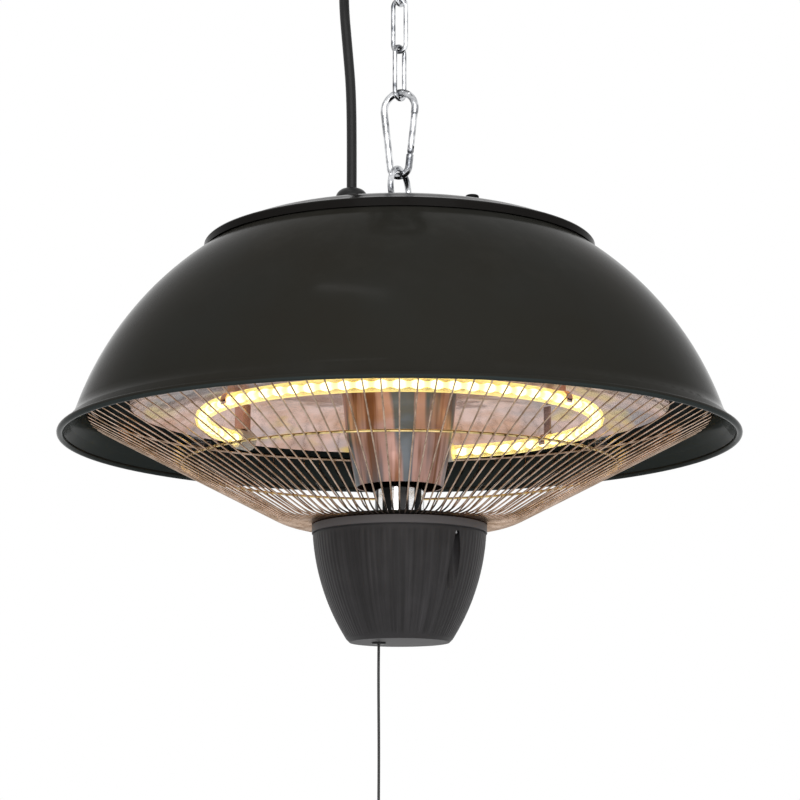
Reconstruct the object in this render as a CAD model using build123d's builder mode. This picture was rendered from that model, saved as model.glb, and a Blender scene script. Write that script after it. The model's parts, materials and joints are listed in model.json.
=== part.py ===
"""Hanging electric patio heater: spun steel shade, ring lamp, wire guard and pull-cord switch.

Millimetres, +Z up. The origin is the middle of the ceiling plate's top face, where the
ceiling is, and everything hangs below it. Azimuth 0 looks along +Y at the near side.
"""

from build123d import *
from math import acos, asin, atan2, cos, degrees, radians, sin, sqrt, tan, pi
import os

os.makedirs("parts", exist_ok=True)

# Driving sizes
shade_r = 215.0            # outer radius over the rolled rim
shade_sheet = 1.0          # spun steel
deck_h = 126.0             # top of the flat part under the cover, above the rim
cover_r = 125.0            # outer radius of the top cover
cover_over_deck = 16.8     # crown of the cover above the deck
cup_r = 55.0               # switch cup at its lip
cup_top_h = -54.4          # top of the lip, from the rim
cup_h = 73.0               # switch cup, lip to bottom
wire_count = 108           # guard wires
lamp_r = 124.5             # middle of the lamp ring
chain_wire = 3.0
link_l = 38.35             # outside length
link_w = 12.0              # outside width
link_count = 5
run_gap = 0.3              # between pieces that move on each other
fit_gap = 0.15             # round a pin, rod or screw in its hole
cord_d = 6.5               # mains cord
pull_d = 1.7               # pull cord
overrun = 1.0              # how far a cut runs past what it cuts

crown_h = deck_h + cover_over_deck

written = {}


def keep(node, name):
    """Label a finished piece and write its file."""
    node.part.label = name
    export_step(node.part, f"parts/{name}.step")
    written[name] = node.part


def turned(angle):
    """The vertical plane through Z whose x direction stands at this angle from +X."""
    a = radians(angle)
    return Plane(origin=(0, 0, 0), x_dir=(cos(a), sin(a), 0), z_dir=(sin(a), -cos(a), 0))


def beside(curve, gap, count=25):
    """Points beside a flat curve, this far to its left, from its start to its end."""
    points = []
    for k in range(count):
        along = curve % (k / (count - 1))
        points.append(curve @ (k / (count - 1)) + Vector(-along.Y, along.X, 0) * gap)
    return points


# Ceiling plate: a round plate with three screw holes, and the hook riveted to its middle
plate_r = 32.0
plate_t = 4.0
plate_edge = 1.0
screw_circle_r = 23.0
screw_hole_r = 2.5
screw_count = 3
hook_wire = 5.0
hook_r = 11.0              # middle of the wire round the bowl
hook_neck_r = 6.0
hook_shank_l = 9.0         # straight part below the plate
hook_tip_angle = 52.0
hook_yaw = -30.0
collar_r = 6.5
collar_t = 3.0
collar_round = 1.0
screw_angle = 90.0         # of the first screw hole

with BuildPart() as ceiling_plate:
    with BuildSketch(Plane.XY.offset(-plate_t)):
        Circle(plate_r)
        Circle(hook_wire / 2 + fit_gap, mode=Mode.SUBTRACT)
        with PolarLocations(screw_circle_r, screw_count, start_angle=screw_angle):
            Circle(screw_hole_r, mode=Mode.SUBTRACT)
    extrude(amount=plate_t)
    chamfer(ceiling_plate.faces().sort_by(Axis.Z)[0].outer_wire().edges(), plate_edge)
keep(ceiling_plate, "ceiling_plate")

neck_lean = asin(hook_neck_r / (hook_r + hook_neck_r))
hook_top = -plate_t - hook_shank_l
hook_mid = hook_top - (hook_r + hook_neck_r) * cos(neck_lean)
hook_low = hook_mid - hook_r
neck_turn = pi / 2 - neck_lean

with BuildPart() as ceiling_hook:
    with BuildLine(turned(hook_yaw)) as hook_path:
        Line((0, 0), (0, hook_top))
        TangentArc(
            (0, hook_top),
            (-hook_neck_r + hook_neck_r * cos(neck_turn), hook_top - hook_neck_r * sin(neck_turn)),
            tangent=(0, -1),
        )
        bowl_start = 90 + degrees(neck_lean)
        CenterArc((0, hook_mid), hook_r, bowl_start, 360 + hook_tip_angle - bowl_start)
    with BuildSketch(Plane.XY):
        Circle(hook_wire / 2)
    sweep(path=hook_path.wire())
    with BuildSketch(Plane.XY.offset(-plate_t)):
        Circle(collar_r)
    extrude(amount=-collar_t)
    fillet(ceiling_hook.faces().filter_by(GeomType.PLANE).sort_by(Axis.Z)[0].edges(), collar_round)
keep(ceiling_hook, "ceiling_hook")

# Chain: welded links, each hanging in the one above
link_mid_w = link_w - chain_wire
link_mid_l = link_l - chain_wire
link_pitch = link_mid_l - chain_wire - run_gap
link_top = [hook_low + (hook_wire + chain_wire) / 2 + run_gap - k * link_pitch for k in range(link_count)]
link_yaw = [60.0, -25.0, 57.0, -25.0, 48.0]

with BuildPart() as link_shape:
    with BuildLine(Plane.XZ) as link_path:
        bow_r = link_mid_w / 2
        side_z = link_mid_l - bow_r
        Line((bow_r, -bow_r), (bow_r, -side_z))
        CenterArc((0, -side_z), bow_r, 0, -180)
        Line((-bow_r, -side_z), (-bow_r, -bow_r))
        CenterArc((0, -bow_r), bow_r, 180, -180)
    with BuildSketch(Plane.XY.offset(-link_mid_l / 2)):
        with Locations((bow_r, 0)):
            Circle(chain_wire / 2)
    sweep(path=link_path.wire())

for k in range(link_count):
    with BuildPart() as link:
        with Locations(Location((0, 0, link_top[k]), (0, 0, link_yaw[k]))):
            add(link_shape.part)
    keep(link, f"chain_link_{k + 1}")

# Carabiner: a pear-shaped snap hook, wide end up, with a sprung gate on its right side
snap_wire = 4.7
snap_l = 60.5              # outside length
snap_top_r = 11.0          # middle of the wire
snap_low_r = 6.6
snap_yaw = -25.0
gate_shares = (0.07, 0.80)  # of the straight right side, from its top
gate_gap = 0.35
gate_d = 4.2
gate_pin_r = 0.8
gate_pin_up = 3.6          # the pin, above the wire's lower end
tab_t = 1.6                # tongue that the gate is forked over
tab_w = 3.2
fork_slot = 2.1
gate_round = 0.4

snap_top = link_top[-1] - link_mid_l + (chain_wire + snap_wire) / 2 + run_gap
snap_low = snap_top - snap_l + snap_wire
top_mid = snap_top - snap_top_r
low_mid = snap_low + snap_low_r
side_lean = asin((snap_top_r - snap_low_r) / (top_mid - low_mid))
side_a = (snap_top_r * cos(side_lean), top_mid - snap_top_r * sin(side_lean))
side_b = (snap_low_r * cos(side_lean), low_mid - snap_low_r * sin(side_lean))


def on_side(share):
    """A point on the carabiner's straight right side, in its own plane."""
    return (
        side_a[0] + (side_b[0] - side_a[0]) * share,
        side_a[1] + (side_b[1] - side_a[1]) * share,
    )


gate_top = on_side(gate_shares[0])
gate_end = on_side(gate_shares[1])
snap_plane = turned(snap_yaw)
gate_up = Vector(gate_top[0] - gate_end[0], gate_top[1] - gate_end[1], 0).normalized()
gate_up_3d = snap_plane.from_local_coords(gate_up) - snap_plane.origin
gate_room = Vector(gate_top[0] - gate_end[0], gate_top[1] - gate_end[1], 0).length
wire_end = snap_plane.from_local_coords((gate_end[0], gate_end[1], 0))
gate_axis = Plane(
    origin=wire_end + gate_up_3d * gate_pin_up,
    x_dir=gate_up_3d,
    z_dir=snap_plane.z_dir,
)

with BuildPart() as carabiner_body:
    with BuildLine(snap_plane) as snap_path:
        lean = degrees(side_lean)
        Line(gate_top, side_a)
        CenterArc((0, top_mid), snap_top_r, -lean, 180 + 2 * lean)
        Line((-side_a[0], side_a[1]), (-side_b[0], side_b[1]))
        CenterArc((0, low_mid), snap_low_r, 180 + lean, 180 - 2 * lean)
        Line(side_b, gate_end)
    snap_wire_path = snap_path.wire()
    with BuildSketch(Plane(origin=snap_wire_path @ 0, z_dir=snap_wire_path % 0)):
        Circle(snap_wire / 2)
    sweep(path=snap_wire_path)
    with BuildSketch(gate_axis):
        Circle(tab_w / 2)
        with Locations((-gate_pin_up / 2 - tab_t / 2, 0)):
            Rectangle(gate_pin_up + tab_t, tab_w)
        Circle(gate_pin_r + fit_gap / 2, mode=Mode.SUBTRACT)
    extrude(amount=tab_t / 2, both=True)
keep(carabiner_body, "carabiner_body")

gate_below = gate_d / 2
gate_above = gate_room - gate_pin_up - gate_gap
with BuildPart() as carabiner_gate:
    with BuildSketch(Plane(origin=gate_axis.origin - gate_up_3d * gate_below, z_dir=gate_up_3d)):
        Circle(gate_d / 2)
    extrude(amount=gate_below + gate_above)
    fillet(carabiner_gate.edges().filter_by(GeomType.CIRCLE), gate_round)
    with BuildSketch(gate_axis):
        with Locations((-overrun, 0)):
            Rectangle(gate_d + 2 * overrun, gate_d + 2 * overrun)
    extrude(amount=fork_slot / 2, both=True, mode=Mode.SUBTRACT)
    with BuildSketch(gate_axis):
        Circle(gate_pin_r + fit_gap / 2)
    extrude(amount=gate_d, both=True, mode=Mode.SUBTRACT)
keep(carabiner_gate, "carabiner_gate")

with BuildPart() as gate_pin:
    with BuildSketch(gate_axis):
        Circle(gate_pin_r)
    extrude(amount=gate_d / 2, both=True)
keep(gate_pin, "gate_pin")

# Eye bolt: the ring on top, its threaded shank through the cover, the shade's deck and the tube's flange
eye_wire = 4.0
eye_r = 13.5               # middle of the wire
eye_yaw = 65.0
eye_foot = 5.75            # collar between ring and cover
eye_foot_r = 6.5
eye_foot_taper = 16.0
bolt_r = 3.0
bolt_chamfer = 0.6
bolt_below_deck = 14.4
bolt_end_h = deck_h - bolt_below_deck

eye_top = snap_low + (snap_wire + eye_wire) / 2 + run_gap
eye_mid = eye_top - eye_r
crown_z = eye_mid - eye_r - eye_wire / 2 - eye_foot
rim_z = crown_z - crown_h
section = Plane(origin=(0, 0, rim_z), x_dir=(1, 0, 0), z_dir=(0, -1, 0))


def level(h):
    """The horizontal plane at this height above the rim."""
    return Plane.XY.offset(rim_z + h)


def upright(angle):
    """The vertical plane at this angle, with its origin on the axis at the rim."""
    plane = turned(angle)
    plane.origin = (0, 0, rim_z)
    return plane


with BuildPart() as eye_bolt:
    with Locations(Location((0, 0, eye_mid), (0, 0, eye_yaw)) * Location((0, 0, 0), (90, 0, 0))):
        Torus(eye_r, eye_wire / 2)
    with BuildSketch(level(crown_h)):
        Circle(eye_foot_r)
    extrude(amount=eye_foot + eye_wire / 2, taper=eye_foot_taper)
    with BuildSketch(level(bolt_end_h)):
        Circle(bolt_r)
    extrude(amount=crown_h - bolt_end_h + eye_foot)
    chamfer(eye_bolt.faces().sort_by(Axis.Z)[0].edges(), bolt_chamfer)
keep(eye_bolt, "eye_bolt")

# Shade: one spun steel sheet, flat on top, round to the flare, with a rolled rim
deck_in = 11.0             # the deck ends this far inside the cover
dome_top_r = cover_r - deck_in
flare_h = 14.3
flare_out = 11.3           # the dome ends this far inside the rim
dome_bulge = 0.951         # radius of the dome's bulge, of the rim's radius
flare_bend_r = 15.3
flare_lean = 47.5
bead_d = 4.2
bead_h = 0.8
deck_hole_r = bolt_r + fit_gap
lead_hole_r = 5.0          # for the inner lead, under the gland
gland_x = -30.8
flange_screw_at = 28.0     # the tube's flange hangs on three screws
flange_screw_count = 3
screw_r = 2.0
screw_head_r = 4.2
screw_head_h = 2.4

dome_bulge_r = dome_bulge * shade_r
dome_low_r = shade_r - flare_out
chord = sqrt((dome_low_r - dome_top_r) ** 2 + (deck_h - flare_h) ** 2)
chord_lean = atan2(deck_h - flare_h, dome_top_r - dome_low_r)
reach = acos(chord / 2 / dome_bulge_r)
dome_mid = (
    dome_low_r + dome_bulge_r * cos(chord_lean + reach),
    flare_h + dome_bulge_r * sin(chord_lean + reach),
)
dome_end = degrees(asin((flare_h - dome_mid[1]) / dome_bulge_r))
dome_start = degrees(asin((deck_h - dome_mid[1]) / dome_bulge_r))
flare_mid = (
    dome_low_r + flare_bend_r * cos(radians(dome_end)),
    flare_h + flare_bend_r * sin(radians(dome_end)),
)
flare_end = (
    flare_mid[0] - flare_bend_r * cos(radians(flare_lean)),
    flare_mid[1] - flare_bend_r * sin(radians(flare_lean)),
)
bead_mid = (shade_r - bead_d / 2, bead_h)


def dome_height(r):
    """Height of the dome's outer face above the rim, at a radius."""
    return dome_mid[1] + sqrt(dome_bulge_r ** 2 - (r - dome_mid[0]) ** 2)


def dome_point(h, inside=0):
    """Radius of the dome's outer face at a height, less this much of its normal."""
    angle = asin((h - dome_mid[1]) / (dome_bulge_r - inside))
    return dome_mid[0] + (dome_bulge_r - inside) * cos(angle)


with BuildPart() as shade:
    with BuildSketch(section):
        with BuildLine():
            Line((deck_hole_r, deck_h), (dome_top_r, deck_h))
            CenterArc(dome_mid, dome_bulge_r, dome_start, dome_end - dome_start)
            CenterArc(flare_mid, flare_bend_r, 180 + dome_end, flare_lean - dome_end)
            Line(flare_end, bead_mid)
            offset(amount=shade_sheet, side=Side.RIGHT)
        make_face()
        with Locations(bead_mid):
            Circle(bead_d / 2)
    revolve(axis=Axis.Z)
    with BuildSketch(level(deck_h)):
        with Locations((gland_x, 0)):
            Circle(lead_hole_r)
        with PolarLocations(flange_screw_at, flange_screw_count):
            Circle(screw_r + fit_gap)
    extrude(amount=-2 * shade_sheet, mode=Mode.SUBTRACT)
keep(shade, "shade")

# Top cover: a pressed cap over the deck, held by two screws into posts
cover_sheet = 1.0
cover_rise = 18.3          # crown above its shoulder
cover_round = 3.6          # higher is a flatter crown and a rounder shoulder
cover_shares = (0.0, 0.3, 0.5, 0.66, 0.8, 0.9, 0.96, 1.0)
cover_end_lean = (0.5, -1.0)
cover_gap = 0.5            # between its wall's foot and the dome
post_r = 4.0
post_at = 80.0
post_angle = -56.0
post_count = 2
gland_r = 10.3
gland_thread_r = 6.0


cover_foot_h = dome_height(cover_r - cover_sheet) + cover_gap


def cover_height(r):
    """Height of the cover's outer face above the rim, at a radius."""
    return crown_h - cover_rise * (r / cover_r) ** cover_round


with BuildPart() as top_cover:
    with BuildSketch(section):
        with BuildLine():
            cover_curve = Spline(
                *[(s * cover_r, cover_height(s * cover_r)) for s in cover_shares],
                tangents=[(1, 0), cover_end_lean],
            )
            under = beside(cover_curve, -cover_sheet)
            Spline(*under)
            Polyline(
                (cover_r, crown_h - cover_rise),
                (cover_r, cover_foot_h),
                (cover_r - cover_sheet, cover_foot_h),
                under[-1],
            )
            Line((0, crown_h), under[0])
        make_face()
    revolve(axis=Axis.Z)
    with BuildSketch(level(crown_h + overrun)):
        Circle(bolt_r + fit_gap)
        with Locations((gland_x, 0)):
            Circle(gland_thread_r + fit_gap)
        with PolarLocations(post_at, post_count, start_angle=post_angle):
            Circle(screw_r + fit_gap)
    extrude(amount=-cover_rise, mode=Mode.SUBTRACT)
keep(top_cover, "top_cover")

post_end_h = cover_height(post_at + post_r) - cover_sheet - run_gap
screw_seat_h = cover_height(post_at - screw_head_r)
screw_end = 2.0            # the cover's screws end this far above the deck

with BuildPart() as cover_posts:
    with BuildSketch(level(deck_h)):
        with PolarLocations(post_at, post_count, start_angle=post_angle):
            Circle(post_r)
    extrude(amount=post_end_h - deck_h)
    with BuildSketch(level(post_end_h)):
        with PolarLocations(post_at, post_count, start_angle=post_angle):
            Circle(screw_r + fit_gap)
    extrude(amount=deck_h - post_end_h, mode=Mode.SUBTRACT)
keep(cover_posts, "cover_posts")

with BuildPart() as cover_screws:
    with BuildSketch(level(screw_seat_h)):
        with PolarLocations(post_at, post_count, start_angle=post_angle):
            Circle(screw_head_r)
    extrude(amount=screw_head_h)
    fillet(cover_screws.faces().group_by(Axis.Z)[-1].edges(), screw_head_h / 2)
    with BuildSketch(level(screw_seat_h)):
        with PolarLocations(post_at, post_count, start_angle=post_angle):
            Circle(screw_r)
    extrude(amount=deck_h + screw_end - screw_seat_h)
    with BuildSketch(level(screw_seat_h + screw_head_h)):
        with PolarLocations(post_at, post_count, start_angle=post_angle):
            Rectangle(screw_r / 2, screw_head_r)
            Rectangle(screw_head_r, screw_r / 2)
    extrude(amount=-screw_head_h / 3, mode=Mode.SUBTRACT)
keep(cover_screws, "cover_screws")

# Cable gland: threaded body through the cover, clamping cap on top, locknut inside
gland_base_h = 6.0
gland_cap_h = 15.0
gland_neck_r = 6.4         # top of the cap, where the cord leaves
cap_shares = (0.4, 0.55, 0.85)   # of the cap's height: thread's end, full width, middle of its shoulder
gland_flutes = 12
flute_r = 1.6
gland_thread_l = 13.0
locknut_h = 4.0
locknut_r = 9.5
lead_fit = 0.1

gland_seat_h = cover_height(abs(gland_x) - gland_r)
cord_exit_h = gland_seat_h + gland_base_h + gland_cap_h
gland_thread_top = gland_seat_h + gland_base_h + gland_cap_h * cap_shares[0]

with BuildPart() as gland_body:
    with BuildSketch(level(gland_seat_h)):
        with Locations((gland_x, 0)):
            RegularPolygon(gland_r, 6, major_radius=True)
    extrude(amount=gland_base_h - run_gap)
    with BuildSketch(level(gland_seat_h - gland_thread_l)):
        with Locations((gland_x, 0)):
            Circle(gland_thread_r)
    extrude(amount=gland_thread_top - gland_seat_h + gland_thread_l)
    with BuildSketch(level(gland_thread_top + overrun)):
        with Locations((gland_x, 0)):
            Circle(cord_d / 2 + lead_fit)
    extrude(amount=-gland_thread_top, mode=Mode.SUBTRACT)
keep(gland_body, "gland_body")

with BuildPart() as gland_cap:
    with BuildSketch(Plane(origin=(gland_x, 0, rim_z), x_dir=(1, 0, 0), z_dir=(0, -1, 0))):
        with BuildLine():
            cap_low = gland_seat_h + gland_base_h
            Polyline(
                (gland_thread_r + lead_fit, cap_low),
                (gland_r, cap_low),
                (gland_r, cap_low + gland_cap_h * cap_shares[1]),
            )
            ThreePointArc(
                (gland_r, cap_low + gland_cap_h * cap_shares[1]),
                ((gland_r + gland_neck_r) / 2 + flute_r / 2, cap_low + gland_cap_h * cap_shares[2]),
                (gland_neck_r, cord_exit_h),
            )
            Polyline(
                (gland_neck_r, cord_exit_h),
                (cord_d / 2 + lead_fit, cord_exit_h),
                (cord_d / 2 + lead_fit, gland_thread_top + run_gap),
                (gland_thread_r + lead_fit, gland_thread_top + run_gap),
                (gland_thread_r + lead_fit, cap_low),
            )
        make_face()
    revolve(axis=Axis((gland_x, 0, 0), (0, 0, 1)))
    with BuildSketch(level(cap_low)):
        with Locations((gland_x, 0)):
            with PolarLocations(gland_r + flute_r / 2, gland_flutes):
                Circle(flute_r)
    extrude(amount=gland_cap_h / 2, mode=Mode.SUBTRACT)
keep(gland_cap, "gland_cap")

with BuildPart() as gland_locknut:
    nut_top_h = cover_height(abs(gland_x) + locknut_r) - cover_sheet - fit_gap
    with BuildSketch(level(nut_top_h)):
        with Locations((gland_x, 0)):
            RegularPolygon(locknut_r, 6)
            Circle(gland_thread_r + lead_fit, mode=Mode.SUBTRACT)
    extrude(amount=-locknut_h)
keep(gland_locknut, "gland_locknut")

# Lamp: sizes that the tube and the dish follow, where its leads pass
lamp_h = 12.4
lamp_tube_r = 5.0
lamp_wall = 1.0
lamp_start = 73.0          # degrees, then clockwise seen from above
lamp_sweep = 283.0
cap_l = 16.0               # ceramic end caps
cap_r = 6.5
lead_d = 2.4
lead_run_h = 52.0          # the leads cross here, between dish and shield
lead_down_r = 9.0          # and go down here, in the tube
lead_bush_r = 2.0

cap_half = degrees(cap_l / 2 / lamp_r)
cap_angles = (lamp_start + cap_half, lamp_start - lamp_sweep - cap_half)

# Centre tube: hangs from the shade's deck by its flange and carries reflector, guard and cup
tube_r = 15.5
tube_wall = 1.5
flange_r = 38.0
flange_t = 2.5
tube_end_below = 11.0      # below the lid's top
lead_slot_w = 14.0
lead_slot_h = 20.0
lead_slot_top_h = 100.0
lid_top_h = cup_top_h - 2.0
flange_top_h = deck_h - shade_sheet

with BuildPart() as centre_tube:
    with BuildSketch(level(lid_top_h - tube_end_below)):
        Circle(tube_r)
        Circle(tube_r - tube_wall, mode=Mode.SUBTRACT)
    extrude(amount=flange_top_h - flange_t - lid_top_h + tube_end_below)
    with BuildSketch(level(flange_top_h - flange_t)):
        Circle(flange_r)
        Circle(bolt_r + fit_gap, mode=Mode.SUBTRACT)
        with Locations((gland_x, 0)):
            Circle(lead_hole_r, mode=Mode.SUBTRACT)
        with PolarLocations(flange_screw_at, flange_screw_count):
            Circle(screw_r + fit_gap, mode=Mode.SUBTRACT)
    extrude(amount=flange_t)
    with BuildSketch(Plane.YZ.offset(-tube_r - overrun)):
        with Locations((0, rim_z + lead_slot_top_h - lead_slot_h / 2)):
            SlotOverall(lead_slot_h, lead_slot_w, rotation=90)
    extrude(amount=tube_r, mode=Mode.SUBTRACT)
    for cap_angle in cap_angles:
        across = turned(cap_angle)
        with BuildSketch(Plane(origin=across.x_dir * lead_down_r, x_dir=-across.z_dir, z_dir=across.x_dir)):
            with Locations((0, rim_z + lead_run_h)):
                Circle(lead_bush_r)
        extrude(amount=tube_r, mode=Mode.SUBTRACT)
keep(centre_tube, "centre_tube")

with BuildPart() as flange_screws:
    with BuildSketch(level(deck_h)):
        with PolarLocations(flange_screw_at, flange_screw_count):
            Circle(screw_head_r)
    extrude(amount=screw_head_h)
    fillet(flange_screws.faces().group_by(Axis.Z)[-1].edges(), screw_head_h / 2)
    with BuildSketch(level(deck_h)):
        with PolarLocations(flange_screw_at, flange_screw_count):
            Circle(screw_r)
    extrude(amount=-3 * flange_t)
keep(flange_screws, "flange_screws")

with BuildPart() as hanger_nut:
    with BuildSketch(level(flange_top_h - flange_t)):
        RegularPolygon(2 * bolt_r, 6)
        Circle(bolt_r + lead_fit, mode=Mode.SUBTRACT)
    extrude(amount=-2 * bolt_r)
keep(hanger_nut, "hanger_nut")

# Spacer sleeve round the eye bolt, between the deck and the cover's crown
sleeve_r = 7.0
with BuildPart() as spacer_sleeve:
    with BuildSketch(level(deck_h)):
        Circle(sleeve_r)
        Circle(bolt_r + fit_gap, mode=Mode.SUBTRACT)
    extrude(amount=crown_h - cover_sheet - deck_h)
keep(spacer_sleeve, "spacer_sleeve")

# Heat shield: a plain dish between the reflector and the shade, on three long posts
shield_sheet = 0.6
shield_points = ((36.0, 66.0), (120.0, 60.0), (162.0, 42.0))
stay_at = 60.0
stay_r = 4.0
stay_count = 3
stay_angle = 45.0
stay_screw_r = 1.5


def shield_height(r):
    """Height of the shield's upper face on its inner cone."""
    share = (r - shield_points[0][0]) / (shield_points[1][0] - shield_points[0][0])
    return shield_points[0][1] + (shield_points[1][1] - shield_points[0][1]) * share


shield_stay_h = shield_height(stay_at - stay_r)

with BuildPart() as heat_shield:
    with BuildSketch(section):
        with BuildLine():
            Polyline(*shield_points)
            offset(amount=shield_sheet, side=Side.RIGHT)
        make_face()
    revolve(axis=Axis.Z)
    with BuildSketch(level(shield_points[0][1] + overrun)):
        with PolarLocations(stay_at, stay_count, start_angle=stay_angle):
            Circle(stay_screw_r + fit_gap)
    extrude(amount=-shield_points[0][1] / 3, mode=Mode.SUBTRACT)
keep(heat_shield, "heat_shield")

with BuildPart() as shield_stays:
    with BuildSketch(level(shield_stay_h)):
        with PolarLocations(stay_at, stay_count, start_angle=stay_angle):
            Circle(stay_r)
    extrude(amount=flange_top_h - shield_stay_h)
    with BuildSketch(level(shield_stay_h)):
        with PolarLocations(stay_at, stay_count, start_angle=stay_angle):
            Circle(stay_screw_r + fit_gap)
    extrude(amount=3 * stay_r, mode=Mode.SUBTRACT)
keep(shield_stays, "shield_stays")

# Reflector: a polished copper-toned dish, and the cone that meets it round the centre tube
reflector_sheet = 0.8
reflector_r = 170.0
reflector_edge_h = 20.0
reflector_top_h = 41.0     # lower face at its highest
cone_top_r = 36.0
cone_top_h = 26.0
cone_mid = (33.6, 4.0)
cone_low = (27.4, -30.0)
cone_lip = 5.0             # turned-out top of the cone, under the dish
dish_shares = ((0.66, 0.93), (0.88, 0.45))
dish_end_lean = (0.75, -0.66)
cone_leans = ((0.18, 1.0), (1.0, 0.6))
halvings = 40              # steps in which a radius is found on the dish


def dish_point(share):
    """A point of the dish's lower face: share of its radius, and of its rise over the edge."""
    r, rise = share
    return (r * reflector_r, reflector_edge_h + rise * (reflector_top_h - reflector_edge_h))


with BuildPart() as reflector_dish:
    with BuildSketch(section):
        with BuildLine():
            dish_curve = Spline(
                (stay_at + stay_r, reflector_top_h),
                *[dish_point(s) for s in dish_shares],
                (reflector_r, reflector_edge_h),
                tangents=[(1, 0), dish_end_lean],
            )
            over = beside(dish_curve, reflector_sheet)
            Spline(*over)
            Line(dish_curve @ 1, over[-1])
            Polyline(
                dish_curve @ 0,
                (cone_top_r + reflector_sheet, reflector_top_h),
                (cone_top_r + reflector_sheet, reflector_top_h + reflector_sheet),
                over[0],
            )
        make_face()
    revolve(axis=Axis.Z)
    with BuildSketch(level(reflector_top_h - overrun)):
        with PolarLocations(stay_at, stay_count, start_angle=stay_angle):
            Circle(stay_screw_r + fit_gap)
    extrude(amount=2 * overrun + reflector_sheet, mode=Mode.SUBTRACT)
    for cap_angle in cap_angles:
        with BuildSketch(level(reflector_edge_h)):
            with PolarLocations(lamp_r, 1, start_angle=cap_angle):
                Circle(lead_bush_r)
        extrude(amount=2 * (reflector_top_h - reflector_edge_h), mode=Mode.SUBTRACT)
keep(reflector_dish, "reflector_dish")

with BuildPart() as reflector_cone:
    with BuildSketch(section):
        with BuildLine():
            cone_bend = (cone_top_r + cone_lip, reflector_top_h - reflector_sheet - fit_gap)
            cone_curve = Spline(
                cone_low, cone_mid, (cone_top_r, cone_top_h), cone_bend, tangents=cone_leans
            )
            inner = beside(cone_curve, reflector_sheet)
            Spline(*inner)
            Line(cone_low, inner[0])
            Polyline(
                cone_bend,
                (cone_bend[0] + cone_lip, cone_bend[1]),
                (cone_bend[0] + cone_lip, cone_bend[1] + reflector_sheet),
                (cone_bend[0], cone_bend[1] + reflector_sheet),
                inner[-1],
            )
        make_face()
    revolve(axis=Axis.Z)
keep(reflector_cone, "reflector_cone")

with BuildPart() as reflector_spacers:
    spacer_low = reflector_top_h + reflector_sheet
    spacer_top = shield_height(stay_at + stay_r) - shield_sheet - fit_gap
    with BuildSketch(level(spacer_low)):
        with PolarLocations(stay_at, stay_count, start_angle=stay_angle):
            Circle(stay_r)
            Circle(stay_screw_r + fit_gap, mode=Mode.SUBTRACT)
    extrude(amount=spacer_top - spacer_low)
keep(reflector_spacers, "reflector_spacers")

stay_head_r = 3.4
stay_head_h = 2.0
with BuildPart() as reflector_screws:
    with BuildSketch(level(reflector_top_h - stay_head_h)):
        with PolarLocations(stay_at, stay_count, start_angle=stay_angle):
            Circle(stay_head_r)
    extrude(amount=stay_head_h)
    fillet(reflector_screws.faces().group_by(Axis.Z)[0].edges(), stay_head_h / 2)
    with BuildSketch(level(reflector_top_h)):
        with PolarLocations(stay_at, stay_count, start_angle=stay_angle):
            Circle(stay_screw_r)
    extrude(amount=shield_stay_h - reflector_top_h + 2 * stay_r)
keep(reflector_screws, "reflector_screws")


def dish_height(r):
    """Height of the dish's lower face at a radius past the stays."""
    curve = Spline(
        (stay_at + stay_r, reflector_top_h),
        *[dish_point(s) for s in dish_shares],
        (reflector_r, reflector_edge_h),
        tangents=[(1, 0), dish_end_lean],
    )
    low, high = 0.0, 1.0
    for _ in range(halvings):
        mid = (low + high) / 2
        if (curve @ mid).X < r:
            low = mid
        else:
            high = mid
    return (curve @ low).Y


# Lamp: an open quartz ring with its filament, ceramic ends, spring clips and leads
filament_r = 1.6
clip_angles = (-145.0, -38.0, 38.0)
clip_t = 0.6
clip_w = 6.0
clip_open = 146.0          # degrees left open below
end_tab_w = 7.0
end_tab_t = 1.2
lead_bend_r = 6.0
lead_end_h = cup_top_h - 8.0

lamp_plane = level(lamp_h)
with BuildPart() as lamp_ring:
    with BuildLine(lamp_plane) as lamp_path:
        CenterArc((0, 0), lamp_r, lamp_start, -lamp_sweep)
    lamp_wire = lamp_path.wire()
    with BuildSketch(Plane(origin=lamp_wire @ 0, z_dir=lamp_wire % 0)):
        Circle(lamp_tube_r)
        Circle(lamp_tube_r - lamp_wall, mode=Mode.SUBTRACT)
    sweep(path=lamp_wire)
keep(lamp_ring, "lamp_ring")

with BuildPart() as lamp_filament:
    with BuildSketch(Plane(origin=lamp_wire @ 0, z_dir=lamp_wire % 0)):
        Circle(filament_r)
    sweep(path=lamp_wire)
keep(lamp_filament, "lamp_filament")

with BuildPart() as lamp_end_caps:
    for end, way in ((0, -1), (1, 1)):
        with BuildSketch(Plane(origin=lamp_wire @ end, z_dir=(lamp_wire % end) * way)):
            Circle(cap_r)
        extrude(amount=cap_l)
    fillet(lamp_end_caps.edges().filter_by(GeomType.CIRCLE), cap_r / 8)
keep(lamp_end_caps, "lamp_end_caps")

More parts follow.
